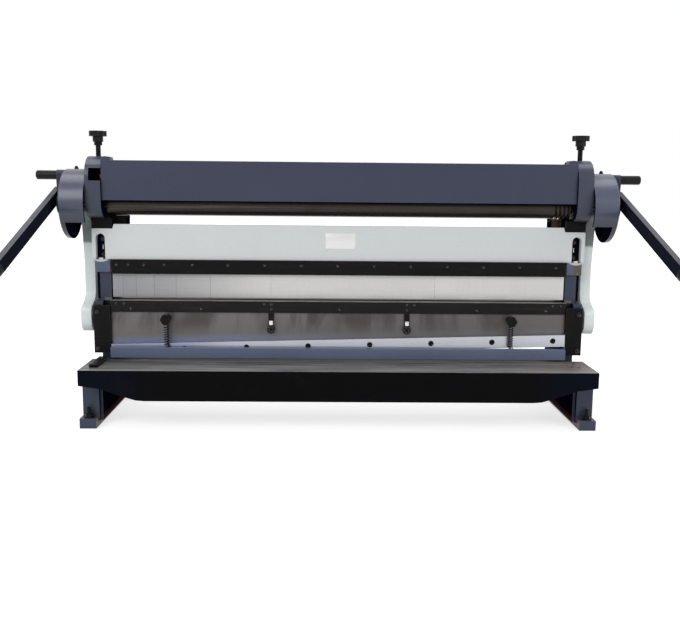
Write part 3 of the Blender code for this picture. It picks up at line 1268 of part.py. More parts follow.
def lug_places():
    """Screw lugs inside the drum's rim, level with its axis and above it."""
    return [(AXIS_Y + LUG_REACH * math.cos(2 * math.pi * turn),
             AXIS_Z + LUG_REACH * math.sin(2 * math.pi * turn)) for turn in LUG_TURNS]


def drum(side, sign):
    name = "drum_" + side
    aim = OUTWARD[sign]
    plate_in = DRUM_OUT - DRUM_PLATE_T
    profile = [(DRUM_R - DRUM_CHAMFER, DRUM_OUT), (DRUM_R, DRUM_OUT - DRUM_CHAMFER),
               (DRUM_R, DRUM_IN), (DRUM_R - DRUM_WALL, DRUM_IN), (DRUM_R - DRUM_WALL, plate_in),
               (DRUM_BOSS_R, plate_in), (DRUM_BOSS_R, BOSS_IN), (SHAFT_R + SLIDE_CLEAR, BOSS_IN),
               (SHAFT_R + SLIDE_CLEAR, DRUM_OUT)]
    made = add(name, turned(name, profile, (0, AXIS_Y, AXIS_Z), aim, 36), "blue_paint")
    opening = block(name, span(sign, DRUM_IN - OVERRUN, plate_in - SEAT),
                    (AXIS_Y - DRUM_R - OVERRUN, AXIS_Y + DRUM_R + OVERRUN),
                    (AXIS_Z - DRUM_R - OVERRUN, DRUM_OPEN_Z))
    cut(made, opening, "drum_opening_" + side)
    bm = bmesh.new()
    for y, z in lug_places():
        turned_into(bm, rod_profile(LUG_R, DRUM_IN + SEAT, plate_in + OVERRUN), (0, y, z), aim, 12)
    join(made, mesh_from(bm, name), "drum_lugs_" + side)
    drill(made, [(0, y, z) for y, z in lug_places()], DRUM_SHANK_R + SLIDE_CLEAR, aim,
          DRUM_IN - OVERRUN, DRUM_OUT + OVERRUN, "drum_screw_holes_" + side, 8)


def eccentric(side, sign):
    name = "eccentric_" + side
    aim = OUTWARD[sign]
    disc = turned(name, rod_profile(ECC_R, ROD_IN + ECC_SIDE, ECC_OUT),
                  (0, AXIS_Y, AXIS_Z + THROW), aim, 28)
    made = add(name, disc, "bare_steel", LEVER_AXES[side])
    shaft = turned(name, rod_profile(SHAFT_R, ECC_OUT - 0.5 * ECC_SIDE, SHAFT_END),
                   (0, AXIS_Y, AXIS_Z), aim, 24)
    join(made, shaft, "shaft_" + side)


ARM_FOOT_SHARE = 0.7         # width of the arm at the hub, of its width at the top


def along_lever(mesh):
    """Moves a mesh that is drawn along -Y from the origin onto the lever bar's middle line."""
    above = Matrix.Translation((0, AXIS_Y, AXIS_Z + BAR_RISE))
    mesh.transform(above @ Matrix.Rotation(LEVER_TILT, 4, "X"))
    return mesh


def lever(side, sign):
    """A hub and an upright arm on the shaft, with a long flat bar on the arm's outer face."""
    name = "lever_" + side
    aim = OUTWARD[sign]
    axis = LEVER_AXES[side]
    hub = turned(name, rod_profile(HUB_R, HUB_IN, HUB_OUT), (0, AXIS_Y, AXIS_Z), aim, 24)
    made = add(name, hub, "blue_paint", axis)
    foot = 0.5 * ARM_W * ARM_FOOT_SHARE
    low = AXIS_Z - HIDDEN * HUB_R
    arm = rounded([(ARM_Y - foot, low, 0), (ARM_Y + foot, low, 0),
                   (ARM_Y + 0.5 * ARM_W, ARM_TOP, 0.25 * ARM_W),
                   (ARM_Y - 0.5 * ARM_W, ARM_TOP, 0.25 * ARM_W)])
    join(made, plate(name, [arm], "X", *span(sign, ARM_X0, ARM_X1)), "arm_" + side)
    half = 0.5 * BAR_H
    bar = block(name, span(sign, ARM_X1 - BAR_SINK, ARM_X1 + BAR_T), (-LEVER_L, BAR_TAIL),
                (-half, half))
    join(made, along_lever(bar), "bar_" + side)
    end = turned(name, rod_profile(LEVER_END_R, LEVER_L - OVERRUN,
                                   LEVER_L + LEVER_END_L - OVERRUN), (sign * BAR_X, 0, 0), "-Y", 16)
    join(made, along_lever(end), "end_" + side)
    pin = turned(name, rod_profile(GRIP_PIN_R, ARM_X1 - OVERRUN, GRIP_END - OVERRUN - SEAT),
                 (0, ARM_Y, GRIP_Z), aim, 12)
    join(made, pin, "grip_pin_" + side)
    drill(made, [(0, AXIS_Y, AXIS_Z)], SHAFT_R + SEAT, aim, HUB_IN - OVERRUN, SHAFT_END + SEAT,
          "hub_bore_" + side, 24)
    grip = [(0, GRIP_END), (GRIP_R - GRIP_SOFT, GRIP_END), (GRIP_R, GRIP_END - GRIP_SOFT),
            (GRIP_R, ARM_X1 + SEAT), (GRIP_PIN_R + SEAT, ARM_X1 + SEAT),
            (GRIP_PIN_R + SEAT, GRIP_END - OVERRUN), (0, GRIP_END - OVERRUN)]
    add("arm_grip_" + side, turned(name, grip, (0, ARM_Y, GRIP_Z), aim, 20), "black_plastic", axis)
    low = LEVER_L + SEAT
    high = LEVER_L + LEVER_END_L
    sleeve = [(0, high), (END_GRIP_R - GRIP_SOFT, high), (END_GRIP_R, high - GRIP_SOFT),
              (END_GRIP_R, low), (LEVER_END_R + SEAT, low),
              (LEVER_END_R + SEAT, high - OVERRUN + SEAT), (0, high - OVERRUN + SEAT)]
    add("end_grip_" + side, along_lever(turned(name, sleeve, (sign * BAR_X, 0, 0), "-Y", 20)),
        "black_plastic", axis)


def build():
    tie_bar()
    work_table()
    lower_knife()
    side_gauge()
    ram()
    upper_knife()
    vee_die()
    hold_down()
    springs()
    upper_beam()
    clamp_bar()
    fingers()
    tie_beam()
    rolls()
    gears()
    for side, sign in SIDES:
        for make in (side_frame, die_strap, guide_bolt, rod_pin, connecting_rod, gib_plate,
                     beam_seat, roll_housing, housing_seat, bearing_block, knob, drum, eccentric,
                     lever):
            make(side, sign)


build()
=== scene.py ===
"""Looks of a combination sheet metal machine: finishes, screws, small fittings and a studio.

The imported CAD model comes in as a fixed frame. Each of its pieces gets rounded edges and a worn
procedural finish, and the screws that fill its holes are added. All sizes are in metres, +Z is up,
+X is the operator's right and -Y is towards the operator.
"""
import json
import math

import bmesh
import bpy
from mathutils import Matrix, Vector

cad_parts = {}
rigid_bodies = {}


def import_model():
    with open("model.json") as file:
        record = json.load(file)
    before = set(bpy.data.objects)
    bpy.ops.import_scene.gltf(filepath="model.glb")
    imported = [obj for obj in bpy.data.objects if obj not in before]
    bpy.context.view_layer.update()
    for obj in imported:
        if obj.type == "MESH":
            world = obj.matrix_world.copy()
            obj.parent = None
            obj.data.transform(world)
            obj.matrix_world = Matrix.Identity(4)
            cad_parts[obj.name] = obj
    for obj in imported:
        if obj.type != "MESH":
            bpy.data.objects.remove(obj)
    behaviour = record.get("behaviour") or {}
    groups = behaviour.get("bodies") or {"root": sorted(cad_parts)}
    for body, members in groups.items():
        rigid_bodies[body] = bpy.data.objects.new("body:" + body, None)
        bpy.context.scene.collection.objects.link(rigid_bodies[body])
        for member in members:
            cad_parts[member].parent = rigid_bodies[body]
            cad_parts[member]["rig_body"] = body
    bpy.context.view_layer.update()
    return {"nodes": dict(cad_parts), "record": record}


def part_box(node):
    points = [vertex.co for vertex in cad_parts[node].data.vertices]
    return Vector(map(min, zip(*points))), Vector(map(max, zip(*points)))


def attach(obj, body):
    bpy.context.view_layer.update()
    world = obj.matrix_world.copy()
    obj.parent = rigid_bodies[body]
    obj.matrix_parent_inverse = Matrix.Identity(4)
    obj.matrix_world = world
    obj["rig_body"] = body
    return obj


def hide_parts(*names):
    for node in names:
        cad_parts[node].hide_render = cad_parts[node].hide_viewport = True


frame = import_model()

bl_info = {
    "name": "Combination sheet metal machine",
    "version": (1, 0, 0),
    "blender": (4, 5, 0),
    "location": "3D View > Sidebar > Sheet Metal",
    "description": "Finishes, screws and studio for a shear, finger brake and slip roll",
    "category": "Object",
}

NODES = frame["nodes"]
SIDES = {"left": -1, "right": 1}   # each side's sign along X

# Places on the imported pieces

AIR = 0.0003                 # between a small piece and the one it stands on
FOOT_TOP = 0.028
FRAME_INNER_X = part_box("side_frame_right")[0].x
COLUMN_TOP_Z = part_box("beam_seat_left")[0].z
BEAM_LOW_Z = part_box("beam_seat_left")[1].z + AIR
SEAT_BACK_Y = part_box("beam_seat_left")[1].y
DRUM_LOW_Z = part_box("drum_right")[0].z


# Settings that a user would change

def length(name, description, default):
    return bpy.props.FloatProperty(name=name, description=description, default=default,
                                   min=0.0, unit="LENGTH", precision=4)


def angle(name, description, degrees):
    return bpy.props.FloatProperty(name=name, description=description,
                                   default=math.radians(degrees), unit="ROTATION")


def power(name, description, watts):
    return bpy.props.FloatProperty(name=name, description=description, default=watts,
                                   min=0.0, unit="POWER")


def colour(name, description, default):
    return bpy.props.FloatVectorProperty(name=name, description=description, default=default,
                                         size=3, min=0.0, max=1.0, subtype="COLOR")


class FinishSettings(bpy.types.PropertyGroup):
    """Colours of the finishes."""
    blue: colour("Blue paint", "Frames, housings, drums and levers", (0.046, 0.054, 0.092))
    grey: colour("Light grey paint", "Upper beam", (0.680, 0.715, 0.712))
    rod: colour("Rod paint", "Connecting rods", (0.770, 0.830, 0.825))
    black: colour("Black paint", "Table and its apron", (0.0028, 0.0025, 0.0030))
    oxide: colour("Black oxide", "Bars, die and gib plates", (0.0070, 0.0066, 0.0066))
    ground: colour("Ground steel", "Knives and seats of the beam", (0.50, 0.51, 0.56))
    machined: colour("Machined steel", "Face of the ram", (0.132, 0.124, 0.120))
    finger: colour("Finger steel", "Bending fingers", (0.53, 0.525, 0.515))
    bar: colour("Hold-down bar", "Blue-grey of the hold-down bar", (0.112, 0.137, 0.216))
    roll: colour("Roll steel", "Greased rolls", (0.031, 0.0270, 0.0230))
    bronze: colour("Bronze", "Bearing blocks", (0.42, 0.26, 0.11))
    plastic: colour("Black plastic", "Grips and knobs", (0.0055, 0.0055, 0.0055))
    blank: colour("Blank plate", "Bare plate on the upper beam", (0.72, 0.73, 0.72))
    edge: length("Edge rounding", "Width of the rounding on the pieces' edges", 0.0009)


class ScrewSettings(bpy.types.PropertyGroup):
    """Sizes of the screws and small fittings."""
    knife_head: length("Knife screw head", "Radius of the knives' socket heads", 0.0074)
    die_head: length("Die screw head", "Radius of the die's and clamp bar's heads", 0.0052)
    gib_head: length("Gib screw head", "Radius of the gib plates' socket heads", 0.0066)
    beam_head: length("Beam bolt head", "Radius of the bolts in the beam's slots", 0.0052)
    strap_head: length("Strap screw head", "Radius of the straps' round screws", 0.0118)
    drum_head: length("Drum screw head", "Radius of the drums' button heads", 0.0068)
    gauge_head: length("Gauge screw head", "Radius of the side gauge's button heads", 0.0058)
    foot_nut: length("Foot nut", "Half width of the feet's nuts, over corners", 0.0110)
    foot_stud: length("Foot stud", "Height of the studs above the feet", 0.0300)
    plate_width: length("Blank plate width", "Width of the plate on the beam", 0.087)
    plate_height: length("Blank plate height", "Height of the plate on the beam", 0.045)


class StudioSettings(bpy.types.PropertyGroup):
    """Camera and lamps."""
    camera_x: bpy.props.FloatProperty(name="Camera X", description="Camera to the right",
                                      default=-0.0393, unit="LENGTH")
    camera_back: length("Camera distance", "Camera in front of the ram's face", 2.450)
    camera_height: length("Camera height", "Camera above the floor", 0.6825)
    pitch: angle("Pitch", "Camera looks down by this angle", 8.88)
    yaw: angle("Yaw", "Camera turns right by this angle", 0.98)
    roll: angle("Roll", "Camera leans by this angle", 0.54)
    focal: bpy.props.FloatProperty(name="Focal length", description="In millimetres",
                                   default=45.08, min=1.0, unit="CAMERA")
    key_power: power("Key lamp", "Power of the key lamp", 80.0)
    fill_power: power("Fill lamp", "Power of the fill lamp", 32.0)
    top_power: power("Top lamp", "Power of the top lamp", 45.0)
    room: bpy.props.FloatProperty(name="Room light", description="Strength of the light all round",
                                  default=0.42, min=0.0)


def looks():
    return bpy.context.scene.machine_finish


def screws():
    return bpy.context.scene.machine_screws


def studio():
    return bpy.context.scene.machine_studio


# Shader sums

class Out:
    """One output of a node, which takes part in sums."""

    def __init__(self, nodes, socket):
        self.nodes = nodes
        self.socket = socket

    def maths(self, operation, *others):
        return sum_of(self.nodes, operation, (self,) + others)

    def __add__(self, other):
        return self.maths("ADD", other)

    def __radd__(self, other):
        return self.maths("ADD", other)

    def __sub__(self, other):
        return self.maths("SUBTRACT", other)

    def __rsub__(self, other):
        return sum_of(self.nodes, "SUBTRACT", (other, self))

    def __mul__(self, other):
        return self.maths("MULTIPLY", other)

    def __rmul__(self, other):
        return self.maths("MULTIPLY", other)

    def __pow__(self, other):
        return self.maths("POWER", other)


def sum_of(nodes, operation, terms):
    made = nodes.put("ShaderNodeMath", {"operation": operation}, dict(enumerate(terms)))
    return Out(nodes, made.outputs[0])


class Nodes:
    """The nodes of one material or of the world."""

    def __init__(self, owner):
        owner.use_nodes = True
        self.tree = owner.node_tree

    def put(self, kind, settings=None, values=None):
        """Adds a node, with its settings made first and its sockets filled or linked after."""
        made = self.tree.nodes.new(kind)
        for key, value in (settings or {}).items():
            setattr(made, key, value)
        for key, value in (values or {}).items():
            self.feed(made.inputs[key], value)
        return made

    def feed(self, socket, value):
        if isinstance(value, Out):
            self.tree.links.new(value.socket, socket)
        elif isinstance(value, (tuple, list)) and len(value) == 3 and socket.type == "RGBA":
            socket.default_value = (*value, 1.0)
        else:
            socket.default_value = value

    def rise(self, value, low, high, start=0.0, end=1.0):
        """Goes smoothly from start to end as the value goes from low to high."""
        made = self.put("ShaderNodeMapRange", {"interpolation_type": "SMOOTHSTEP"}, {
            "Value": value, "From Min": low, "From Max": high, "To Min": start, "To Max": end})
        return Out(self, made.outputs[0])

    def fall(self, value, low, high):
        """Goes smoothly from 1 to 0 as the value goes from low to high."""
        return self.rise(value, low, high, 1.0, 0.0)

    def seen_directly(self):
        """1 for camera, glossy and transmission rays, which show the white surroundings."""
        path = self.put("ShaderNodeLightPath")
        camera_ray, glossy_ray, through_ray = [
            Out(self, path.outputs[name])
            for name in ("Is Camera Ray", "Is Glossy Ray", "Is Transmission Ray")]
        return camera_ray.maths("MAXIMUM", glossy_ray).maths("MAXIMUM", through_ray)


class Surface(Nodes):
    """The nodes of one material, with its place on the machine and the way it faces."""

    def __init__(self, name):
        self.material = bpy.data.materials.new(name)
        super().__init__(self.material)
        self.shader = self.tree.nodes["Principled BSDF"]
        where = self.put("ShaderNodeTexCoord")
        self.place = Out(self, where.outputs["Object"])
        self.x, self.y, self.z = self.parts(self.place)
        self.outwards = self.x.maths("ABSOLUTE")   # from the machine's middle, on either side
        self.facing_y, self.facing_z = self.parts(Out(self, where.outputs["Normal"]))[1:]

    def set(self, **values):
        """Fills or links the shader's own sockets."""
        for key, value in values.items():
            socket = key.replace("_", " ").title().replace("Ior", "IOR")
            self.feed(self.shader.inputs[socket], value)

    def stretched(self, scale):
        made = self.put("ShaderNodeVectorMath", {"operation": "MULTIPLY"},
                        {0: self.place, 1: scale})
        return Out(self, made.outputs[0])

    def noise(self, scale, detail=3.0, roughness=0.55, place=None, distortion=0.0):
        made = self.put("ShaderNodeTexNoise", {}, {
            "Vector": place or self.place, "Scale": scale, "Detail": detail,
            "Roughness": roughness, "Distortion": distortion})
        return Out(self, made.outputs[0])

    def cells(self, scale, place):
        made = self.put("ShaderNodeTexVoronoi", {"feature": "DISTANCE_TO_EDGE"},
                        {"Vector": place, "Scale": scale})
        return Out(self, made.outputs[0])

    def mix(self, share, first, second):
        made = self.put("ShaderNodeMix", {"data_type": "RGBA"}, {0: share, 6: first, 7: second})
        return Out(self, made.outputs[2])

    def tint(self, colour_in, amount):
        """A colour made lighter or darker by a varying amount."""
        made = self.put("ShaderNodeVectorMath", {"operation": "SCALE"},
                        {0: colour_in, "Scale": amount})
        return Out(self, made.outputs[0])

    def parts(self, vector):
        made = self.put("ShaderNodeSeparateXYZ", {}, {0: vector})
        return [Out(self, socket) for socket in made.outputs]

    def soft_normal(self, radius):
        made = self.put("ShaderNodeBevel", {"samples": BEVEL_SAMPLES}, {"Radius": radius})
        return Out(self, made.outputs[0])

    def edges(self, radius):
        """Near 0 on a flat, and more towards an edge."""
        true = self.put("ShaderNodeNewGeometry")
        made = self.put("ShaderNodeVectorMath", {"operation": "DOT_PRODUCT"},
                        {0: self.soft_normal(radius), 1: Out(self, true.outputs["Normal"])})
        return 1.0 - Out(self, made.outputs["Value"])

    def bump(self, height, strength, distance, corner=None):
        """Fine relief, over corners that the shading softens."""
        made = self.put("ShaderNodeBump", {}, {
            "Height": height, "Strength": strength, "Distance": distance,
            "Normal": self.soft_normal(corner or CORNER_SOFT)})
        return Out(self, made.outputs[0])

    def span(self, value, low, high, fade=0.001):
        """1 from low to high, fading to 0 outside."""
        away = (value - 0.5 * (low + high)).maths("ABSOLUTE")
        half = 0.5 * (high - low)
        return self.fall(away, half, half + fade)


BEVEL_SAMPLES = 4
EDGE_REACH = 0.0022          # how far wear reaches in from an edge
CORNER_SOFT = 0.0010         # radius of the softened corners in the shading
SMALL_SOFT = 0.0005          # the same on screws and small pieces
# painted shade: how high the dark paint behind the beam's end slots reaches on the columns
SLOT_REACH = 0.126           # how far the beam's end slots show the columns
SEAT_BOW = 14.0              # how sharply the bright top of a seat curves
KNIFE_RAKE = 0.0265          # the upper knife's rise for each length to the right

# Colours that wear, oil and rust add to the finishes, and colours of painted shade, shadow, sheen
# and highlights

PAINT_DIRT = (0.030, 0.027, 0.024)
PALE_DUST = (0.30, 0.29, 0.27)
CHIPPED_BLUE = (0.16, 0.175, 0.22)
# painted shade: near-black navy for faces inside the machine
SHADE_NAVY = (0.0035, 0.0050, 0.0140)
BLACK_GREASE = (0.0085, 0.0065, 0.0055)
OLD_RUST = (0.062, 0.026, 0.020)
FOOT_RUST = (0.075, 0.028, 0.021)
# painted shade behind the beam's end slots
SLOT_SHADE = (0.004, 0.004, 0.005)
TAN_STAIN = (0.26, 0.225, 0.185)
SHADE_BLACK = (0.007, 0.007, 0.008)
CHIPPED_GREY = (0.36, 0.38, 0.38)
CHIPPED_ROD = (0.40, 0.42, 0.42)
# painted shadow on the rods' upper part
ROD_SHADOW = (0.135, 0.160, 0.155)
CHIPPED_BLACK = (0.045, 0.042, 0.042)
# painted shade: navy on the table's ends, beside the shaded frames
TABLE_END_SHADE = (0.0020, 0.0038, 0.0095)
WORN_TABLE = (0.235, 0.230, 0.228)
# rubbed steel, and on the front edge also a painted highlight
RUBBED_TABLE_AND_HIGHLIGHT = (0.46, 0.45, 0.44)
TAN_TABLE = (0.27, 0.235, 0.20)
BROWN_STREAK = (0.016, 0.0135, 0.0125)
RUBBED_OXIDE = (0.14, 0.13, 0.12)
WORN_DIE = (0.060, 0.056, 0.053)
RUBBED_DIE = (0.34, 0.325, 0.305)
TAN_GREASE = (0.115, 0.078, 0.056)
COLD_SEAT = (0.070, 0.082, 0.125)
STAINED_SEAT = (0.080, 0.066, 0.056)
# painted glints on the seats
SEAT_GLINT = (0.40, 0.41, 0.44)
BRIGHT_SEAT = (0.46, 0.46, 0.49)
KNIFE_SPOT = (0.20, 0.19, 0.20)
KNIFE_BLUE = (0.25, 0.27, 0.38)
# painted shade on the lower knife
SHADED_KNIFE = (0.034, 0.034, 0.040)
RAM_SMEAR = (0.046, 0.040, 0.036)
# painted bluish sheen on the ram's lower left edge
RAM_BLUE_SHEEN = (0.142, 0.158, 0.240)
OIL_FILM = (0.080, 0.065, 0.050)
SCREW_BLACK = (0.020, 0.019, 0.019)
# rubbed rims, also standing for a painted highlight
RUBBED_SCREW_HIGHLIGHT = (0.40, 0.395, 0.39)
PLATED = (0.66, 0.65, 0.62)
DULL_PLATED = (0.34, 0.31, 0.27)
# painted shade: bluish on the left-hand fingers
FINGER_SHADE_BLUE = (0.27, 0.285, 0.33)
FINGER_STAIN = (0.33, 0.31, 0.29)
CHIPPED_BAR = (0.26, 0.27, 0.31)
# rubbed lines and painted highlights on the rolls
RUBBED_ROLL_HIGHLIGHT = (0.075, 0.068, 0.060)
ROLL_GREASE = (0.016, 0.011, 0.008)
BRONZE_GREASE = (0.10, 0.055, 0.03)
SCUFFED_PLASTIC = (0.09, 0.09, 0.09)
FLOOR_GREY = (0.62, 0.62, 0.62)
FLOOR_GLOW = (0.69, 0.69, 0.69)
WHITE = (1.0, 1.0, 1.0)
BLACK = (0.0, 0.0, 0.0)

MADE = {}                    # materials by name


def finish(name):
    """The material of that name, made the first time it is asked for."""
    if name not in MADE:
        nodes = Surface(name)
        RECIPES[name](nodes)
        MADE[name] = nodes.material
    return MADE[name]


def paint(nodes, base, chip, cloud=0.10, wear=0.55, roughness=0.36, peel=260.0, dust=0.0,
          coat=0.08, shine=0.22, soil=0.22):
    """Sprayed enamel: faint clouds, orange peel, rubbed edges with chips, and dust on top."""
    clouds = nodes.noise(5.0, 4.0, 0.6)
    specks = nodes.noise(190.0, 2.0, 0.5)
    shade = 1.0 - cloud + 2.0 * cloud * clouds + 0.10 * (specks - 0.5)
    tone = nodes.tint(base, shade)
    dirt = nodes.rise(nodes.noise(9.0, 5.0, 0.62), 0.56, 0.78)
    tone = nodes.mix(soil * dirt, tone, PAINT_DIRT)
    tone = nodes.mix(dust * nodes.rise(nodes.facing_z, 0.55, 0.98) * nodes.noise(24.0, 3.0),
                     tone, PALE_DUST)
    chips = nodes.rise(nodes.edges(EDGE_REACH) + 0.55 * (nodes.noise(62.0, 4.0, 0.7) - 0.5),
                       0.17, 0.30)
    tone = nodes.mix(wear * chips, tone, chip)
    lines = nodes.fall(nodes.cells(26.0, nodes.stretched((1.0, 1.0, 0.08))), 0.0, 0.010)
    scratches = lines * nodes.rise(nodes.noise(7.0, 2.0), 0.55, 0.70)
    tone = nodes.mix(0.16 * scratches, tone, chip)
    peel_height = nodes.noise(peel, 2.0, 0.5)
    nodes.set(base_color=tone,
              roughness=roughness + 0.16 * (clouds - 0.5) + 0.14 * dirt + 0.10 * chips,
              normal=nodes.bump(peel_height + 0.5 * scratches, 0.10, 0.0006),
              coat_weight=coat * (1.0 - 0.8 * dirt), coat_roughness=0.22,
              specular_ior_level=shine)
    return tone


def blue_of(share):
    return tuple(share * part for part in looks().blue)


def blue_paint(nodes):
    """Blue enamel of the tie beam and the tie bar."""
    paint(nodes, blue_of(0.86), CHIPPED_BLUE, roughness=0.38, dust=0.10)


def housing_paint(nodes):
    """Glossy blue paint of the roll housings."""
    paint(nodes, blue_of(0.74), CHIPPED_BLUE, roughness=0.34, dust=0.04, coat=0.15, shine=0.30)


def drum_paint(nodes):
    """Glossy blue paint, lighter on the right-hand drum, with painted shade low down."""
    tone = paint(nodes, tuple(looks().blue), CHIPPED_BLUE, roughness=0.30, dust=0.10, coat=0.22,
                 shine=0.42)
    axis_z = drum_axis("drum_right")[1]
    # painted shade on the drum's lower part
    low = nodes.fall(nodes.z, axis_z - 0.075, axis_z + 0.020)
    right = nodes.rise(nodes.x, -0.1, 0.1)
    nodes.set(base_color=nodes.tint(tone, (1.0 + 0.22 * right) * (1.0 - 0.66 * low)))


def lever_paint(nodes):
    """Worn blue enamel on the levers' edges."""
    paint(nodes, blue_of(0.62), CHIPPED_BLUE, roughness=0.40, dust=0.30, shine=0.15)


def lever_side(nodes):
    """The levers' flat sides: a darker copy of the levers' blue as painted shade, dull with
    handling.
    """
    paint(nodes, blue_of(0.24), CHIPPED_BLUE, wear=0.30, roughness=0.60, coat=0.0, shine=0.0)


def dark_inside(nodes):
    """Faces that look into the machine: nearly black painted shade with old grease, and no shine;
    the springs get this black too.
    """
    clouds = nodes.noise(14.0, 4.0, 0.6)
    grease = nodes.rise(nodes.noise(30.0, 4.0, 0.65), 0.52, 0.70)
    # painted shade on faces that look into the machine, with old grease
    tone = nodes.mix(0.6 * grease, nodes.tint(SHADE_NAVY, 0.6 + 0.8 * clouds), BLACK_GREASE)
    low = nodes.fall(nodes.z, FOOT_TOP, FOOT_TOP + 0.003)
    rust = nodes.tint(OLD_RUST, 0.5 + nodes.noise(34.0, 5.0, 0.65))
    tone = nodes.mix(0.92 * low, tone, rust)
    nodes.set(base_color=tone, roughness=0.75 + 0.15 * (clouds - 0.5), specular_ior_level=0.0,
              normal=nodes.bump(clouds, 0.10, 0.0004))


def frame_paint(nodes):
    """Blue paint, with painted shade between the frames, behind the beam's end slots and beside the
    die, and rust on the feet's inner edges.
    """
    tone = paint(nodes, tuple(looks().blue), CHIPPED_BLUE, roughness=0.42, dust=0.10)
    tone = nodes.tint(tone, nodes.rise(nodes.z, FOOT_TOP, FOOT_TOP + 0.006, 1.0, 0.78))
    inset = nodes.outwards - FRAME_INNER_X
    front = nodes.fall(nodes.facing_y, -0.9, -0.6)
    rough = nodes.noise(34.0, 5.0, 0.65)
    # painted shade on the frames' inner faces
    inside = nodes.fall(inset, 0.0015, 0.0050) * (1.0 - front)
    tone = nodes.mix(0.90 * inside, tone, SHADE_NAVY)
    low = nodes.fall(nodes.z, FOOT_TOP - 0.0005, FOOT_TOP + 0.0020)
    rust = nodes.fall(inset, 0.0105, 0.0150) * low * (1.0 - front)
    tone = nodes.mix(rust * (0.80 + 0.20 * rough), tone, nodes.tint(FOOT_RUST, 0.5 + rough))
    # painted shade behind the beam's end slots
    shade_behind_slot = front * nodes.span(nodes.z, COLUMN_TOP_Z, COLUMN_TOP_Z + SLOT_REACH)
    tone = nodes.mix(0.94 * shade_behind_slot, tone, SLOT_SHADE)
    beside_die = front * nodes.fall(inset, 0.0205, 0.0220)
    above_die = nodes.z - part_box("v_die")[1].z
    tone = nodes.mix(0.45 * beside_die * nodes.span(above_die, -0.004, 0.003), tone,
                     nodes.tint(TAN_STAIN, 0.5 + rough))
    # painted shade beside the die, below its top
    tone = nodes.mix(0.90 * beside_die * nodes.span(above_die, -0.028, -0.006), tone, SHADE_BLACK)
    nodes.set(base_color=tone)


def grey_paint(nodes):
    """Pale, clean enamel of the upper beam."""
    paint(nodes, tuple(looks().grey), CHIPPED_GREY, cloud=0.03, wear=0.35, roughness=0.42,
          shine=0.25, soil=0.03)


def rod_paint(nodes):
    """Pale paint, with a painted shadow where it runs up into the drum."""
    tone = paint(nodes, tuple(looks().rod), CHIPPED_ROD, cloud=0.03, wear=0.25, roughness=0.42,
                 shine=0.25, soil=0.05)
    # painted shadow of the drum and housing on the rod's upper part, with a sharp edge
    film = nodes.rise(nodes.z + 0.006 * (nodes.noise(30.0, 3.0) - 0.5), DRUM_LOW_Z - 0.017,
                      DRUM_LOW_Z - 0.007)
    nodes.set(base_color=nodes.mix(0.90 * film, tone, ROD_SHADOW))


def table_paint(nodes):
    """Black paint, rubbed through to streaky grey metal on the table's top, with painted navy shade
    at its ends and a rubbed front edge that also carries a painted highlight.
    """
    tone = paint(nodes, tuple(looks().black), CHIPPED_BLACK, cloud=0.30, wear=0.45,
                 roughness=0.45, coat=0.0, shine=0.03)
    low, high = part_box("work_table")
    # painted navy shade on the table's ends
    ends = nodes.rise(nodes.outwards, high.x - 0.212, high.x - 0.072)
    tone = nodes.mix(0.75 * ends, tone, TABLE_END_SHADE)
    up = nodes.rise(nodes.facing_z, 0.6, 0.95)
    streaks = nodes.noise(15.0, 5.0, 0.62, nodes.stretched((0.30, 9.0, 1.0)))
    clouds = nodes.noise(5.0, 4.0, 0.6)
    fore = nodes.fall(nodes.y + 0.03 * (clouds - 0.5), high.y - 0.155, high.y - 0.02)
    worn = up * nodes.rise(streaks + 0.4 * clouds, 0.40, 0.78, 0.62, 1.0)
    streaks = nodes.rise(streaks, 0.30, 0.70)
    steel = nodes.tint(WORN_TABLE, (0.45 + 0.95 * streaks) * (0.55 + 0.62 * fore))
    # front edge: rubbed bright, with a painted highlight
    edge = nodes.fall(nodes.y, low.y + 0.0015, low.y + 0.0030)
    steel = nodes.mix(0.70 * edge, steel, RUBBED_TABLE_AND_HIGHLIGHT)
    right = nodes.rise(nodes.x, high.x - 0.272, high.x - 0.052)
    steel = nodes.mix(0.50 * right, steel, TAN_TABLE)
    scuffs = nodes.rise(nodes.noise(80.0, 3.0, 0.7, nodes.stretched((0.3, 1.0, 1.0))), 0.64, 0.72)
    steel = nodes.mix(0.35 * scuffs, steel, RUBBED_TABLE_AND_HIGHLIGHT)
    nodes.set(base_color=nodes.mix(worn, tone, steel), metallic=0.50 * worn,
              roughness=0.40 + 0.06 * worn + 0.16 * (streaks - 0.5))


def black_oxide(nodes):
    """Blackened steel with a brown cast, fine scuffs and bright rubbed edges."""
    base = tuple(looks().oxide)
    along = nodes.stretched((0.25, 1.0, 3.0))
    streaks = nodes.noise(42.0, 4.0, 0.65, along)
    clouds = nodes.noise(11.0, 4.0, 0.6)
    tone = nodes.tint(base, 0.55 + 0.9 * clouds)
    tone = nodes.mix(0.55 * nodes.rise(streaks, 0.50, 0.72), tone, BROWN_STREAK)
    rub = nodes.rise(nodes.edges(EDGE_REACH) + 0.50 * (nodes.noise(75.0, 4.0, 0.7) - 0.5),
                     0.14, 0.34)
    tone = nodes.mix(0.50 * rub, tone, RUBBED_OXIDE)
    nodes.set(base_color=tone, metallic=0.30 + 0.45 * rub,
              roughness=0.40 + 0.22 * (streaks - 0.5) + 0.12 * (clouds - 0.5),
              normal=nodes.bump(nodes.noise(330.0, 3.0), 0.12, 0.0005), specular_ior_level=0.08)
    return tone


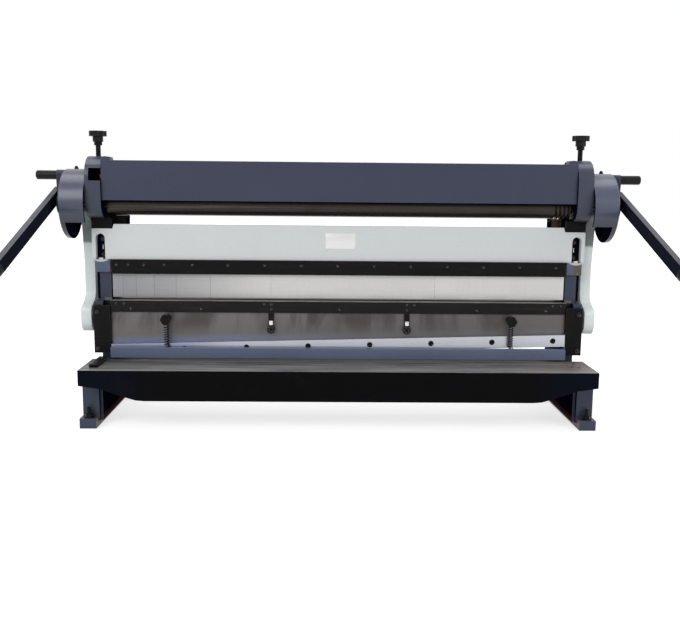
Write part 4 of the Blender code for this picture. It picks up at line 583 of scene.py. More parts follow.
def die_oxide(nodes):
    """Black oxide, with the front edge of the working top rubbed bright."""
    tone = black_oxide(nodes)
    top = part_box("v_die")[1].z
    up = nodes.rise(nodes.facing_z, 0.3, 0.7)
    lines = nodes.noise(30.0, 3.0, 0.6, nodes.stretched((0.3, 40.0, 1.0)))
    rubbed = nodes.noise(14.0, 4.0, 0.6, nodes.stretched((1.0, 0.0, 0.0)))
    edge = nodes.rise(nodes.z + 0.0022 * (rubbed - 0.5), top - 0.0014, top - 0.0004) * (1.0 - up)
    tone = nodes.tint(tone, 1.7 + 0.3 * lines)
    tone = nodes.mix(0.85 * up, tone, nodes.tint(WORN_DIE, 0.5 + lines))
    tone = nodes.mix(0.75 * edge, tone, RUBBED_DIE)
    nodes.set(base_color=tone, metallic=0.35 + 0.40 * edge)


def seat_oxide(nodes):
    """The blocks under the roll housings: black, with tan grease on the right-hand lug."""
    tone = black_oxide(nodes)
    lug_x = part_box("housing_seat_right")[0].x
    lug = nodes.span(nodes.x, lug_x - 0.015, lug_x + 0.040, 0.004)
    patches = nodes.rise(nodes.noise(46.0, 4.0, 0.65), 0.28, 0.50)
    nodes.set(base_color=nodes.mix(0.85 * lug * patches, tone, TAN_GREASE))


def seat_steel(nodes):
    """Seats of the upper beam: bright along the top, blue-grey and stained below, with painted
    glints.
    """
    low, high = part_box("beam_seat_right")
    clouds = nodes.noise(30.0, 4.0, 0.65)
    cold = nodes.tint(COLD_SEAT, 0.4 + 1.2 * clouds)
    stained = nodes.tint(STAINED_SEAT, 0.4 + 1.2 * clouds)
    tone = nodes.mix(nodes.rise(nodes.x, low.x + 0.018, low.x + 0.024), cold, stained)
    # painted glints
    glints = nodes.rise(nodes.noise(70.0, 3.0, 0.6), 0.64, 0.72)
    tone = nodes.mix(0.50 * glints, tone, SEAT_GLINT)
    bowed = nodes.z - SEAT_BOW * (nodes.outwards - (low.x + 0.026)) ** 2.0
    bright = nodes.rise(bowed + 0.003 * (clouds - 0.5), high.z - 0.0085, high.z - 0.0055)
    tone = nodes.mix(0.85 * bright, tone, BRIGHT_SEAT)
    nodes.set(base_color=tone, metallic=0.70, roughness=0.32 + 0.30 * (clouds - 0.5),
              normal=nodes.bump(clouds, 0.12, 0.0006))


def ground_steel(nodes):
    """Surface-ground steel: fine lines along X, a faint oil film, darker spots and a bluish left
    end.
    """
    base = tuple(looks().ground)
    lines = nodes.noise(60.0, 3.0, 0.6, nodes.stretched((0.12, 26.0, 26.0)))
    film = nodes.noise(6.0, 4.0, 0.6)
    tone = nodes.tint(base, 0.80 + 0.22 * lines + 0.20 * (film - 0.5))
    spots = nodes.rise(nodes.noise(95.0, 4.0, 0.7), 0.64, 0.74)
    tone = nodes.mix(0.30 * spots, tone, KNIFE_SPOT)
    left_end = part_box("upper_knife")[0].x
    left = nodes.fall(nodes.x + 0.06 * (film - 0.5), 0.758 * left_end, 0.379 * left_end)
    tone = nodes.mix(0.85 * left, tone, KNIFE_BLUE)
    nodes.set(base_color=tone, metallic=0.82,
              roughness=0.30 + 0.14 * (lines - 0.5) + 0.14 * (film - 0.5) + 0.10 * spots,
              normal=nodes.bump(lines, 0.09, 0.0003))


def oiled_steel(nodes):
    """The lower knife: ground steel painted dark as shade, with little shine."""
    lines = nodes.noise(60.0, 3.0, 0.6, nodes.stretched((0.12, 26.0, 26.0)))
    film = nodes.noise(12.0, 4.0, 0.6)
    # painted shade over the whole lower knife
    tone = nodes.tint(SHADED_KNIFE, 0.55 + 0.45 * lines + 0.45 * film)
    nodes.set(base_color=tone, metallic=0.30, roughness=0.48 + 0.16 * (film - 0.5),
              normal=nodes.bump(lines, 0.09, 0.0003), specular_ior_level=0.05)


def ram_steel(nodes):
    """Milled face with dark vertical smears, painted shade that grows towards the right, and a
    painted bluish sheen along its lower left edge.
    """
    base = tuple(looks().machined)
    low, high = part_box("ram")
    lines = nodes.noise(48.0, 3.0, 0.6, nodes.stretched((0.10, 1.0, 18.0)))
    smear = nodes.noise(7.5, 4.0, 0.6, nodes.stretched((1.0, 1.0, 0.22)), 0.6)
    grain = nodes.noise(210.0, 2.0, 0.6)
    # painted shade, darker towards the right
    shade_to_right = nodes.rise(nodes.x, 0.659 * low.x, 0.586 * high.x, 1.0, 0.78)
    tone = nodes.tint(base, (0.82 + 0.26 * lines + 0.16 * grain) * shade_to_right)
    above = nodes.z - low.z
    smeared = nodes.rise(above, 0.044, 0.104) * nodes.rise(smear, 0.44, 0.62)
    tone = nodes.mix(0.85 * smeared, tone, RAM_SMEAR)
    # painted bluish sheen along the lower left edge
    left = nodes.rise(nodes.x, 0.659 * low.x, 0.22 * high.x, 1.0, 0.12)
    edge = nodes.fall(above - KNIFE_RAKE * nodes.x + 0.012 * (smear - 0.5), 0.055, 0.075)
    tone = nodes.mix(0.90 * left * edge, tone, RAM_BLUE_SHEEN)
    nodes.set(base_color=tone, metallic=0.60,
              roughness=0.42 + 0.12 * (lines - 0.5) + 0.16 * (smear - 0.5),
              normal=nodes.bump(lines, 0.14, 0.0004))


def bare_steel(nodes):
    """Turned or cut steel under a film of oil."""
    base = tuple(looks().machined)
    rings = nodes.noise(120.0, 3.0, 0.6, nodes.stretched((8.0, 1.0, 1.0)))
    film = nodes.noise(18.0, 4.0, 0.6)
    tone = nodes.tint(base, 0.65 + 0.55 * rings)
    tone = nodes.mix(0.50 * nodes.rise(film, 0.48, 0.70), tone, OIL_FILM)
    nodes.set(base_color=tone, metallic=0.95, roughness=0.30 + 0.20 * (film - 0.5) + 0.10 * rings,
              normal=nodes.bump(rings, 0.12, 0.0003))


def screw_steel(nodes):
    """Blackened screw heads, rubbed brighter on their rims, which also carry a painted highlight."""
    clouds = nodes.noise(60.0, 3.0, 0.6)
    # rims rubbed bright, and a painted ring highlight
    rub = nodes.rise(nodes.edges(CORNER_SOFT) + 0.20 * (nodes.noise(160.0, 3.0) - 0.5), 0.09, 0.26)
    tone = nodes.mix(0.9 * rub, nodes.tint(SCREW_BLACK, 0.6 + 0.8 * clouds), RUBBED_SCREW_HIGHLIGHT)
    nodes.set(base_color=tone, metallic=0.35 + 0.5 * rub, specular_ior_level=0.10,
              roughness=0.40 + 0.16 * (clouds - 0.5),
              normal=nodes.bump(clouds, 0.15, 0.0002, SMALL_SOFT))


def bright_steel(nodes):
    """Plated washers, bolts and small blocks."""
    clouds = nodes.noise(75.0, 3.0, 0.6)
    tone = nodes.mix(0.5 * nodes.rise(clouds, 0.50, 0.72), PLATED, DULL_PLATED)
    nodes.set(base_color=tone, metallic=0.90, roughness=0.26 + 0.22 * (clouds - 0.5),
              normal=nodes.bump(clouds, 0.12, 0.0002, SMALL_SOFT))


FINGER_TONES = (0.99, 0.96, 1.01, 0.95, 0.98, 1.00, 0.98, 1.00)


def finger_steel(tone_share):
    """Milled fingers: each a little lighter or darker than the next, with painted shade, darker and
    bluer, towards the left.
    """
    def recipe(nodes):
        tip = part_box("finger_1")[0]
        base = tuple(looks().finger)
        lines = nodes.noise(52.0, 3.0, 0.6, nodes.stretched((9.0, 1.0, 0.35)))
        cross = nodes.noise(46.0, 3.0, 0.6, nodes.stretched((0.25, 1.0, 8.0)))
        grain = nodes.noise(240.0, 2.0, 0.6)
        film = nodes.noise(7.0, 4.0, 0.6)
        shade = tone_share * (0.80 + 0.12 * lines + 0.12 * cross + 0.14 * grain
                              + 0.14 * (film - 0.5))
        tone = nodes.tint(base, shade)
        # painted shade: a lit and a shaded copy of the tone, darker and bluer towards the left
        left = nodes.fall(nodes.x, tip.x, 0.197 * tip.x)
        tone = nodes.mix(left, nodes.tint(tone, 1.16), nodes.tint(tone, 0.55))
        tone = nodes.mix(0.35 * left, tone, FINGER_SHADE_BLUE)
        low = nodes.fall(nodes.z, tip.z + 0.002, tip.z + 0.022)
        tone = nodes.mix(0.30 * low * nodes.rise(film, 0.35, 0.65), tone, FINGER_STAIN)
        nodes.set(base_color=tone, metallic=0.35,
                  roughness=0.44 + 0.12 * (lines - 0.5) + 0.12 * (film - 0.5),
                  normal=nodes.bump(lines + cross, 0.09, 0.0003))
    return recipe


def bar_blue_grey(nodes):
    """The hold-down bar: thin blue-grey finish, greyer and scratched along its edges."""
    paint(nodes, tuple(looks().bar), CHIPPED_BAR, cloud=0.12, wear=0.60, roughness=0.40,
          peel=330.0, coat=0.10)
    nodes.set(metallic=0.25)


def roll_steel(nodes):
    """Rolls under old grease: bands that follow the length, and bright lines that are rubbed steel
    and painted highlights.
    """
    base = tuple(looks().roll)
    bands = nodes.noise(60.0, 4.0, 0.6, nodes.stretched((0.06, 3.0, 3.0)))
    blotch = nodes.noise(14.0, 4.0, 0.65)
    tone = nodes.tint(base, 0.35 + 1.3 * bands)
    # bright lines: rubbed steel and painted highlights
    tone = nodes.mix(0.45 * nodes.rise(bands, 0.55, 0.75), tone, RUBBED_ROLL_HIGHLIGHT)
    tone = nodes.mix(0.45 * nodes.rise(blotch, 0.50, 0.72), tone, ROLL_GREASE)
    nodes.set(base_color=tone, metallic=0.85,
              roughness=0.30 + 0.20 * (bands - 0.5) + 0.18 * (blotch - 0.5),
              normal=nodes.bump(bands, 0.10, 0.0004))


def bronze(nodes):
    """Bronze of the bearing blocks, brown with old grease."""
    base = tuple(looks().bronze)
    film = nodes.noise(40.0, 4.0, 0.6)
    tone = nodes.mix(nodes.rise(film, 0.45, 0.75), nodes.tint(base, 0.8 + 0.4 * film), BRONZE_GREASE)
    nodes.set(base_color=tone, metallic=0.95, roughness=0.34 + 0.2 * (film - 0.5),
              normal=nodes.bump(film, 0.12, 0.0003))


def black_plastic(nodes):
    """Moulded plastic, fine grained, with a dull polish where hands hold it."""
    base = tuple(looks().plastic)
    grain = nodes.noise(420.0, 3.0, 0.6)
    hands = nodes.noise(16.0, 3.0, 0.6)
    scuff = nodes.rise(nodes.edges(EDGE_REACH) + 0.4 * (nodes.noise(90.0, 3.0) - 0.5), 0.16, 0.36)
    tone = nodes.mix(0.30 * scuff, nodes.tint(base, 0.7 + 0.7 * hands), SCUFFED_PLASTIC)
    nodes.set(base_color=tone, roughness=0.34 + 0.24 * (hands - 0.5) + 0.15 * scuff,
              normal=nodes.bump(grain, 0.16, 0.0004), specular_ior_level=0.14)


def blank_plate_metal(nodes):
    """Thin brushed aluminium with nothing printed on it."""
    base = tuple(looks().blank)
    brush = nodes.noise(90.0, 3.0, 0.6, nodes.stretched((0.12, 1.0, 9.0)))
    tone = nodes.tint(base, 0.86 + 0.22 * brush)
    nodes.set(base_color=tone, metallic=0.45, roughness=0.36 + 0.14 * (brush - 0.5),
              normal=nodes.bump(brush, 0.08, 0.0002, 0.8 * SMALL_SOFT))


RECIPES = {make.__name__: make for make in (
    blue_paint, frame_paint, housing_paint, drum_paint, lever_paint, lever_side, dark_inside,
    grey_paint, rod_paint, table_paint, black_oxide, die_oxide, seat_oxide, seat_steel,
    ground_steel, oiled_steel, ram_steel, bare_steel, screw_steel, bright_steel, bar_blue_grey,
    roll_steel, bronze, black_plastic, blank_plate_metal)}
for number, share in enumerate(FINGER_TONES, start=1):
    RECIPES["finger_steel_%d" % number] = finger_steel(share)


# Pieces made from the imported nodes

WELD = 0.00001               # corners nearer than this are one
FLAT_ANGLE = math.radians(0.6)
SHARP_ANGLE = math.radians(38.0)
ROUNDING_STEPS = 2


def show(name, data):
    made = bpy.data.objects.new(name, data)
    bpy.context.scene.collection.objects.link(made)
    return made


def finished_mesh(name, bm, finishes):
    """A mesh with its finishes, shaded smooth between its sharp edges."""
    mesh = bpy.data.meshes.new(name)
    bm.to_mesh(mesh)
    bm.free()
    for each in finishes:
        mesh.materials.append(finish(each))
    mesh.shade_smooth()
    mesh.set_sharp_from_angle(angle=SHARP_ANGLE)
    return mesh


def dress(name, *finishes, pick=None, rounding=1.0):
    """Stands for a node with a copy whose corners are joined and whose edges are rounded."""
    source = NODES[name]
    bm = bmesh.new()
    bm.from_mesh(source.data)
    bmesh.ops.remove_doubles(bm, verts=bm.verts, dist=WELD)
    bmesh.ops.dissolve_limit(bm, angle_limit=FLAT_ANGLE, verts=bm.verts, edges=bm.edges)
    for face in bm.faces:
        face.material_index = pick(face.calc_center_median(), face.normal) if pick else 0
    made = show(name + "_finished", finished_mesh(name + "_finished", bm, finishes))
    if rounding > 0.0:
        soft = made.modifiers.new("rounding", "BEVEL")
        soft.width = looks().edge * rounding
        soft.segments = ROUNDING_STEPS
        soft.limit_method = "ANGLE"
        soft.angle_limit = SHARP_ANGLE
        soft.use_clamp_overlap = True
    flat = made.modifiers.new("flat_faces", "WEIGHTED_NORMAL")
    flat.keep_sharp = True
    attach(made, source["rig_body"])
    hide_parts(name)
    slot_of(name)


def slot_of(name):
    for part in frame["record"]["subparts"]:
        if part["node"] == name:
            return part["material_slot"]
    raise ValueError("the record has no sub-part named " + name)


WINDOW_SPANS = ((0.001, 0.035), (0.010, 0.056), (0.103, 0.142))   # from its housing's corner


def to_middle(place, facing):
    """1 for a face that looks towards the machine's middle; on the drums and the housing seats such
    faces get the black painted shade.
    """
    return int(facing.x * place.x < -0.5 * abs(place.x))


# 1 for a frame's inner faces above the feet, which get the black painted shade
def frame_inside(place, facing):
    return int(place.z > FOOT_TOP + 0.002 and to_middle(place, facing))


def housing_inside(place, facing):
    """1 for the inner side of a roll housing and the walls of its window, which get the black
    painted shade.
    """
    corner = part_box("roll_housing_right")[0]
    reach = Vector((abs(place.x), place.y, place.z)) - corner
    window = all(near < along < far for along, (near, far) in zip(reach, WINDOW_SPANS))
    return int(window or to_middle(place, facing))


# 1 for a lever's flat sides, which get the darker painted shade copy of the blue
def flat_side(place, facing):
    return int(abs(facing.x) > 0.5)


def pair(name):
    """Each side's sign along X, with the node of that name on that side."""
    return [(sign, name + "_" + side) for side, sign in SIDES.items()]


def both(name):
    return [node for sign, node in pair(name)]


def outer_x(name, sign):
    """Where a piece ends, away from the machine's middle."""
    low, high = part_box(name)
    return high.x if sign > 0 else low.x


def dress_all(names, *finishes, **options):
    for name in names:
        dress(name, *finishes, **options)


# Screws and other small pieces

TURN_STEPS = 24
AIMS = {
    "-X": Matrix.Rotation(-math.pi / 2, 4, "Y"),
    "+X": Matrix.Rotation(math.pi / 2, 4, "Y"),
    "-Y": Matrix.Rotation(math.pi / 2, 4, "X"),
    "+Y": Matrix.Rotation(-math.pi / 2, 4, "X"),
    "+Z": Matrix.Identity(4),
}
HEX_SHARES = {"socket": 0.56, "depth": 0.55, "chamfer": 0.14}   # of the head's radius
DOME_SHARES = {"socket": 0.46, "rim": 0.93, "floor": 0.35}   # of the head's radius and height
DOME_TURNS = (0, 18, 36, 52)   # degrees up the dome
HEAD_H = {"knife": 0.0078, "die": 0.0028, "clamp": 0.0030, "strap": 0.0085, "gib": 0.0060,
          "beam": 0.0095, "drum": 0.0036, "gauge": 0.0030}


def ring_point(radius, height, shape, angle):
    """A point of a round or hexagonal ring; a hexagon's radius runs to its corners."""
    if shape == "hex":
        sector = math.pi / 3
        off = (angle % sector) - 0.5 * sector
        radius = radius * math.cos(0.5 * sector) / math.cos(off)
    return Vector((radius * math.cos(angle), radius * math.sin(angle), height))


def turned_rings(bm, rings, place, aim):
    """Lofts rings of (radius, height, shape) into one closed body."""
    matrix = Matrix.Translation(place) @ AIMS[aim]
    loops = []
    for radius, height, shape in rings:
        loops.append([bm.verts.new(matrix @ ring_point(radius, height, shape,
                                                       2 * math.pi * step / TURN_STEPS))
                      for step in range(TURN_STEPS)])
    for lower, upper in zip(loops, loops[1:]):
        for step in range(TURN_STEPS):
            after = (step + 1) % TURN_STEPS
            bm.faces.new((lower[step], lower[after], upper[after], upper[step]))
    bm.faces.new(loops[0][::-1])
    bm.faces.new(loops[-1])


def round_rings(*rings):
    return [(radius, height, "round") for radius, height in rings]


def socket_head(radius, height):
    """A cylinder head with a hexagonal socket."""
    chamfer = HEX_SHARES["chamfer"] * radius
    socket = HEX_SHARES["socket"] * radius
    rim = round_rings((radius, 0.0), (radius, height - chamfer), (radius - chamfer, height))
    return rim + [(socket, height, "hex"), (socket, height - HEX_SHARES["depth"] * radius, "hex")]


def button_head(radius, height):
    """A domed head with a hexagonal socket."""
    socket = DOME_SHARES["socket"] * radius
    turns = [math.radians(turn) for turn in DOME_TURNS]
    dome = round_rings(*[(radius * math.cos(turn), height * math.sin(turn)) for turn in turns])
    return dome + [(socket, DOME_SHARES["rim"] * height, "hex"),
                   (socket, DOME_SHARES["floor"] * height, "hex")]


def nut_and_stud(corner, stud_height):
    """A washer, a hexagonal nut and the end of the stud that stands out of it."""
    washer = 1.25 * corner
    thread = 0.52 * corner
    washer_t = 0.16 * corner
    nut_top = 1.05 * corner
    return [(washer, 0.0, "round"), (washer, washer_t, "round"), (corner, washer_t, "hex"),
            (corner, nut_top - 0.1 * corner, "hex"), (0.86 * corner, nut_top, "round"),
            (thread, nut_top, "round"), (thread, stud_height - 0.3 * thread, "round"),
            (0.66 * thread, stud_height, "round")]


def small_pieces(name, body, made_of, parts):
    """One object from many turned parts, each of (rings, place, aim)."""
    bm = bmesh.new()
    for rings, place, aim in parts:
        turned_rings(bm, rings, place, aim)
    settle(name, bm, body, made_of)


def settle(name, bm, body, made_of):
    """Shows a small piece and lets it ride on a body."""
    bmesh.ops.recalc_face_normals(bm, faces=bm.faces)
    made = show(name, finished_mesh(name, bm, [made_of]))
    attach(made, body)


def box_middle(name):
    low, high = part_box(name)
    return 0.5 * (low + high)


KNIFE_SCREWS = 8
# Places of the upper knife's screws, as shares of its half length
UPPER_KNIFE_SHARES = (-0.95, -0.679, -0.407, -0.136, 0.136, 0.407, 0.677, 0.947)
KNIFE_H = 0.0345             # height of the upper knife at any one place
BORE_D = 0.009               # depth of the screws' bores in the knives


def even_places(count, half):
    pitch = 2 * half / count
    return [-half + pitch * (index + 0.5) for index in range(count)]


def upper_knife_screws():
    low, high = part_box("upper_knife")
    half = high.x
    rings = socket_head(screws().knife_head, HEAD_H["knife"])
    parts = []
    for share in UPPER_KNIFE_SHARES:
        bottom = low.z + 0.5 * (share + 1.0) * (high.z - low.z - KNIFE_H)
        parts.append((rings, (share * half, low.y + BORE_D, bottom + 0.5 * KNIFE_H), "-Y"))
    small_pieces("upper_knife_screws", "ram", "black_oxide", parts)


def lower_knife_screws():
    low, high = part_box("lower_knife")
    rings = socket_head(screws().knife_head, HEAD_H["knife"])
    middle = 0.5 * (low.z + high.z)
    small_pieces("lower_knife_screws", "frame", "screw_steel",
                 [(rings, (x, high.y - BORE_D, middle), "+Y")
                  for x in even_places(KNIFE_SCREWS, high.x)])


# Places of the die's screws, as shares of its half length and its height
DIE_UPPER_SHARES = (0.977, 0.942, 0.330, 0.298)
DIE_LOWER_SHARES = (0.912, 0.606, 0.298)
DIE_ROW_SHARES = (0.72, 0.30)


def die_screws():
    low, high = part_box("v_die")
    rows = [low.z + share * (high.z - low.z) for share in DIE_ROW_SHARES]
    rings = button_head(screws().die_head, HEAD_H["die"])
    parts = [(rings, (0.0, low.y, rows[1]), "-Y")]
    for sign in SIDES.values():
        parts += [(rings, (sign * share * high.x, low.y, rows[0]), "-Y")
                  for share in DIE_UPPER_SHARES]
        parts += [(rings, (sign * share * high.x, low.y, rows[1]), "-Y")
                  for share in DIE_LOWER_SHARES]
    small_pieces("die_screws", "ram", "screw_steel", parts)


CLAMP_RISE = 0.0266          # from the clamp bar's lower edge to its screws
CLAMP_PITCH = 0.106
NARROW_FINGERS = 5           # these have a screw each


def clamp_screws():
    low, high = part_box("clamp_bar")
    places = [box_middle("finger_%d" % (index + 1)).x for index in range(NARROW_FINGERS)]
    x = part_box("finger_%d" % NARROW_FINGERS)[1].x + 0.5 * CLAMP_PITCH
    while x < high.x:
        places.append(x)
        x += CLAMP_PITCH
    rings = button_head(screws().die_head, HEAD_H["clamp"])
    small_pieces("clamp_screws", "frame", "screw_steel",
                 [(rings, (x, low.y, low.z + CLAMP_RISE), "-Y") for x in places])


STRAP_RISE = 0.008           # from a strap's lower end to its screw
STRAP_BLOCK_RISE = 0.021     # and to its block
STRAP_BLOCK = (0.0110, 0.0040, 0.0130)   # along X, Y and Z
BLOCK_ROUND = 0.0008


def strap_screws():
    """Large round screws in the straps."""
    rings = socket_head(screws().strap_head, HEAD_H["strap"])
    parts = []
    for name in both("die_strap"):
        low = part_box(name)[0]
        parts.append((rings, (box_middle(name).x, low.y, low.z + STRAP_RISE), "-Y"))
    small_pieces("strap_screws", "ram", "screw_steel", parts)


def strap_blocks():
    """Bright guide blocks on the straps, above their screws."""
    width, thickness, height = STRAP_BLOCK
    bm = bmesh.new()
    for name in both("die_strap"):
        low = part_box(name)[0]
        x = box_middle(name).x
        z = low.z + STRAP_BLOCK_RISE
        add_block(bm, (x - 0.5 * width, x + 0.5 * width), (low.y - thickness, low.y),
                  (z, z + height), BLOCK_ROUND)
    settle("strap_blocks", bm, "ram", "bright_steel")


def add_block(bm, x, y, z, rounding):
    """A box with rounded edges."""
    size = Matrix.Diagonal((x[1] - x[0], y[1] - y[0], z[1] - z[0], 1.0))
    middle = Matrix.Translation((0.5 * (x[0] + x[1]), 0.5 * (y[0] + y[1]), 0.5 * (z[0] + z[1])))
    made = bmesh.ops.create_cube(bm, size=1.0, matrix=middle @ size)["verts"]
    edges = list({edge for vert in made for edge in vert.link_edges})
    bmesh.ops.bevel(bm, geom=edges, offset=rounding, segments=3, profile=0.5, affect="EDGES")


GIB_INSET = 0.012            # from the plate's outer edge
GIB_RISES = (0.013, 0.0185)  # from the plate's lower and upper edges


def gib_screws():
    rings = socket_head(screws().gib_head, HEAD_H["gib"])
    parts = []
    for sign, name in pair("gib_plate"):
        low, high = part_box(name)
        x = outer_x(name, sign) - sign * GIB_INSET
        parts += [(rings, (x, low.y, z), "-Y")
                  for z in (low.z + GIB_RISES[0], high.z - GIB_RISES[1])]
    small_pieces("gib_screws", "frame", "screw_steel", parts)


BOLT_IN = 0.0295             # from the beam's end to its slot's bolts
SLOT_IN = 0.0240             # and to the slot's middle
BEAM_RISES = (0.0125, 0.0575)   # of a slot's two bolts, from the beam's seat
WASHER_SHARE = 1.5           # of the bolt head's radius
WASHER_T = 0.0016
PIN_R = 0.0012
PIN_SHARES = (0.30, 0.38, 0.62, 0.70)   # of the height between the bolts' heads
PIN_OUT = 0.0065             # in front of the slot's block
COLLAR_OUT = 0.0100
COLLAR_RINGS = ((0.0085, 0.0), (0.0085, 0.0030), (0.0062, 0.0050))
SLOT_HALF = 0.0127           # a little less than half the slot's width
SLOT_TURN_RISE = 0.0980      # from the column's top to where the slot turns round
SLOT_T = 0.0022
STRIP_T = 0.0040
STRIP_IN = 0.0070            # from the beam's end to the strip's outer edge
STRIP_LOW_Z = 0.337
STRIP_ROUND = 0.0006
WEB_OUTER_X = FRAME_INNER_X + 0.034


def beam_bolts():
    """Bolts in the beam's end slots, the bright pins between them and the collars below."""
    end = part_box("upper_beam")[1].x
    face = SEAT_BACK_Y - SLOT_T
    radius = screws().beam_head
    head = socket_head(radius, HEAD_H["beam"])
    washer = round_rings((WASHER_SHARE * radius, 0.0), (WASHER_SHARE * radius, WASHER_T))
    tall = BEAM_RISES[1] - BEAM_RISES[0] - 2 * radius
    pin = round_rings(*zip((0.5 * PIN_R, PIN_R, PIN_R, 0.5 * PIN_R),
                           [share * tall for share in PIN_SHARES]))
    bolts = []
    washers = []
    pins = []
    for sign in SIDES.values():
        x = sign * (end - BOLT_IN)
        for rise in BEAM_RISES:
            place = (x, face, BEAM_LOW_Z + rise)
            washers.append((washer, place, "-Y"))
            bolts.append((head, place, "-Y"))
        pins.append((pin, (x, face - PIN_OUT, BEAM_LOW_Z + BEAM_RISES[0] + radius), "+Z"))
        pins.append((round_rings(*COLLAR_RINGS),
                     (sign * (end - SLOT_IN), face - COLLAR_OUT, BEAM_LOW_Z), "+Z"))
    small_pieces("beam_bolts", "frame", "screw_steel", bolts)
    small_pieces("beam_washers", "frame", "black_oxide", washers)
    small_pieces("beam_pins", "frame", "bright_steel", pins)


def shade_strips_by_columns():
    """Thin black strips of painted shade beside the columns, below the beam's seats."""
    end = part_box("upper_beam")[1].x
    front = SEAT_BACK_Y + AIR
    for side, sign in SIDES.items():
        bm = bmesh.new()
        add_block(bm, sorted((sign * (WEB_OUTER_X + AIR), sign * (end - STRIP_IN))),
                  (front, front + STRIP_T), (STRIP_LOW_Z, COLUMN_TOP_Z - AIR), STRIP_ROUND)
        settle("slide_plate_" + side, bm, "frame", "dark_inside")


def shade_blocks_in_slots():
    """Thin black blocks of painted shade in the beam's end slots, round at the top as the slots are.
    """
    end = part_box("upper_beam")[1].x
    turn_z = COLUMN_TOP_Z + SLOT_TURN_RISE
    for side, sign in SIDES.items():
        middle = sign * (end - SLOT_IN)
        outline = [(middle + SLOT_HALF, BEAM_LOW_Z + AIR)]
        for step in range(TURN_STEPS + 1):
            turn = math.pi * step / TURN_STEPS
            outline.append((middle + SLOT_HALF * math.cos(turn),
                            turn_z + SLOT_HALF * math.sin(turn)))
        outline.append((middle - SLOT_HALF, BEAM_LOW_Z + AIR))
        bm = bmesh.new()
        front, back = [[bm.verts.new((x, y, z)) for x, z in outline]
                       for y in (SEAT_BACK_Y - SLOT_T, SEAT_BACK_Y)]
        for start in range(len(outline)):
            after = (start + 1) % len(outline)
            bm.faces.new((front[start], front[after], back[after], back[start]))
        bm.faces.new(front)
        bm.faces.new(back[::-1])
        settle("slot_block_" + side, bm, "frame", "dark_inside")


LUG_REACH = 0.085            # from a drum's axis to its screws
LUG_TURNS = (0.0, 0.25, 0.5)


def drum_axis(name):
    """Y and Z of a drum's axis, and the drum's radius."""
    low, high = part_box(name)
    radius = 0.5 * (high.y - low.y)
    return 0.5 * (low.y + high.y), high.z - radius, radius


def drum_screws():
    rings = button_head(screws().drum_head, HEAD_H["drum"])
    parts = []
    for sign, name in pair("drum"):
        y, z = drum_axis(name)[:2]
        for turn in LUG_TURNS:
            angle = 2 * math.pi * turn
            place = (outer_x(name, sign), y + LUG_REACH * math.cos(angle),
                     z + LUG_REACH * math.sin(angle))
            parts.append((rings, place, "+X" if sign > 0 else "-X"))
    small_pieces("drum_screws", "frame", "screw_steel", parts)


FOOT_FORE = 0.014            # from the foot's front to its front stud
FOOT_AFT = 0.021             # and from its back to the rear stud
FOOT_X = FRAME_INNER_X + 0.033


def foot_bolts():
    low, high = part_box("side_frame_left")
    rings = nut_and_stud(screws().foot_nut, screws().foot_stud)
    parts = [(rings, (sign * FOOT_X, y, FOOT_TOP), "+Z")
             for sign in SIDES.values() for y in (low.y + FOOT_FORE, high.y - FOOT_AFT)]
    small_pieces("foot_bolts", "frame", "black_oxide", parts)


GAUGE_SHARES = (0.22, 0.78)


def gauge_screws():
    low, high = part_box("side_gauge")
    x = box_middle("side_gauge").x
    rings = button_head(screws().gauge_head, HEAD_H["gauge"])
    small_pieces("gauge_screws", "frame", "screw_steel",
                 [(rings, (x, low.y + share * (high.y - low.y), high.z), "+Z")
                  for share in GAUGE_SHARES])


PLATE_MIDDLE = (0.0025, 0.5125)   # X and Z of the blank plate's middle
PLATE_T = 0.0008
RIVET_INSET = 0.0035
RIVET_RINGS = ((0.0017, 0.0), (0.0015, 0.0006), (0.0008, 0.0010))


def blank_plate():
    """A bare metal plate with four rivets on the upper beam's face."""
    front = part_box("upper_beam")[0].y
    half_w = 0.5 * screws().plate_width
    half_h = 0.5 * screws().plate_height
    x, z = PLATE_MIDDLE
    bm = bmesh.new()
    add_block(bm, (x - half_w, x + half_w), (front - PLATE_T, front), (z - half_h, z + half_h),
              0.3 * PLATE_T)
    settle("blank_plate", bm, "frame", "blank_plate_metal")
    rings = round_rings(*RIVET_RINGS)
    small_pieces("plate_rivets", "frame", "bright_steel",
                 [(rings, (x + right * (half_w - RIVET_INSET), front - PLATE_T,
                           z + up * (half_h - RIVET_INSET)), "-Y")
                  for right in (-1, 1) for up in (-1, 1)])


OILER_HEX = ((0.0062, -0.002, "hex"), (0.0062, 0.004, "hex"))
OILER_NIPPLE = ((0.0045, 0.0048), (0.0045, 0.0070), (0.0026, 0.0090))
OILER_AFT = 0.012            # behind the drum's axis
OILER_SHARE = 0.35           # of the drum's length, in from its outer face


def drum_oilers():
    """A ball oiler in the top of each drum's rim."""
    rings = list(OILER_HEX) + round_rings(*OILER_NIPPLE)
    parts = []
    for sign, name in pair("drum"):
        low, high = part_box(name)
        y, z, radius = drum_axis(name)
        x = outer_x(name, sign) - sign * OILER_SHARE * (high.x - low.x)
        rise = math.sqrt(radius ** 2 - OILER_AFT ** 2)
        parts.append((rings, (x, y + OILER_AFT, z + rise), "+Z"))
    small_pieces("drum_oilers", "frame", "black_oxide", parts)


# Studio

FLOOR_HALF = 14.0
FLOOR_CELLS = 8
FLOOR_DROP = 0.0004
GLOW_NEAR = 0.8              # the floor turns white from here
GLOW_FAR = 2.6               # to here, measured from the machine's middle
SENSOR_MM = 36.0

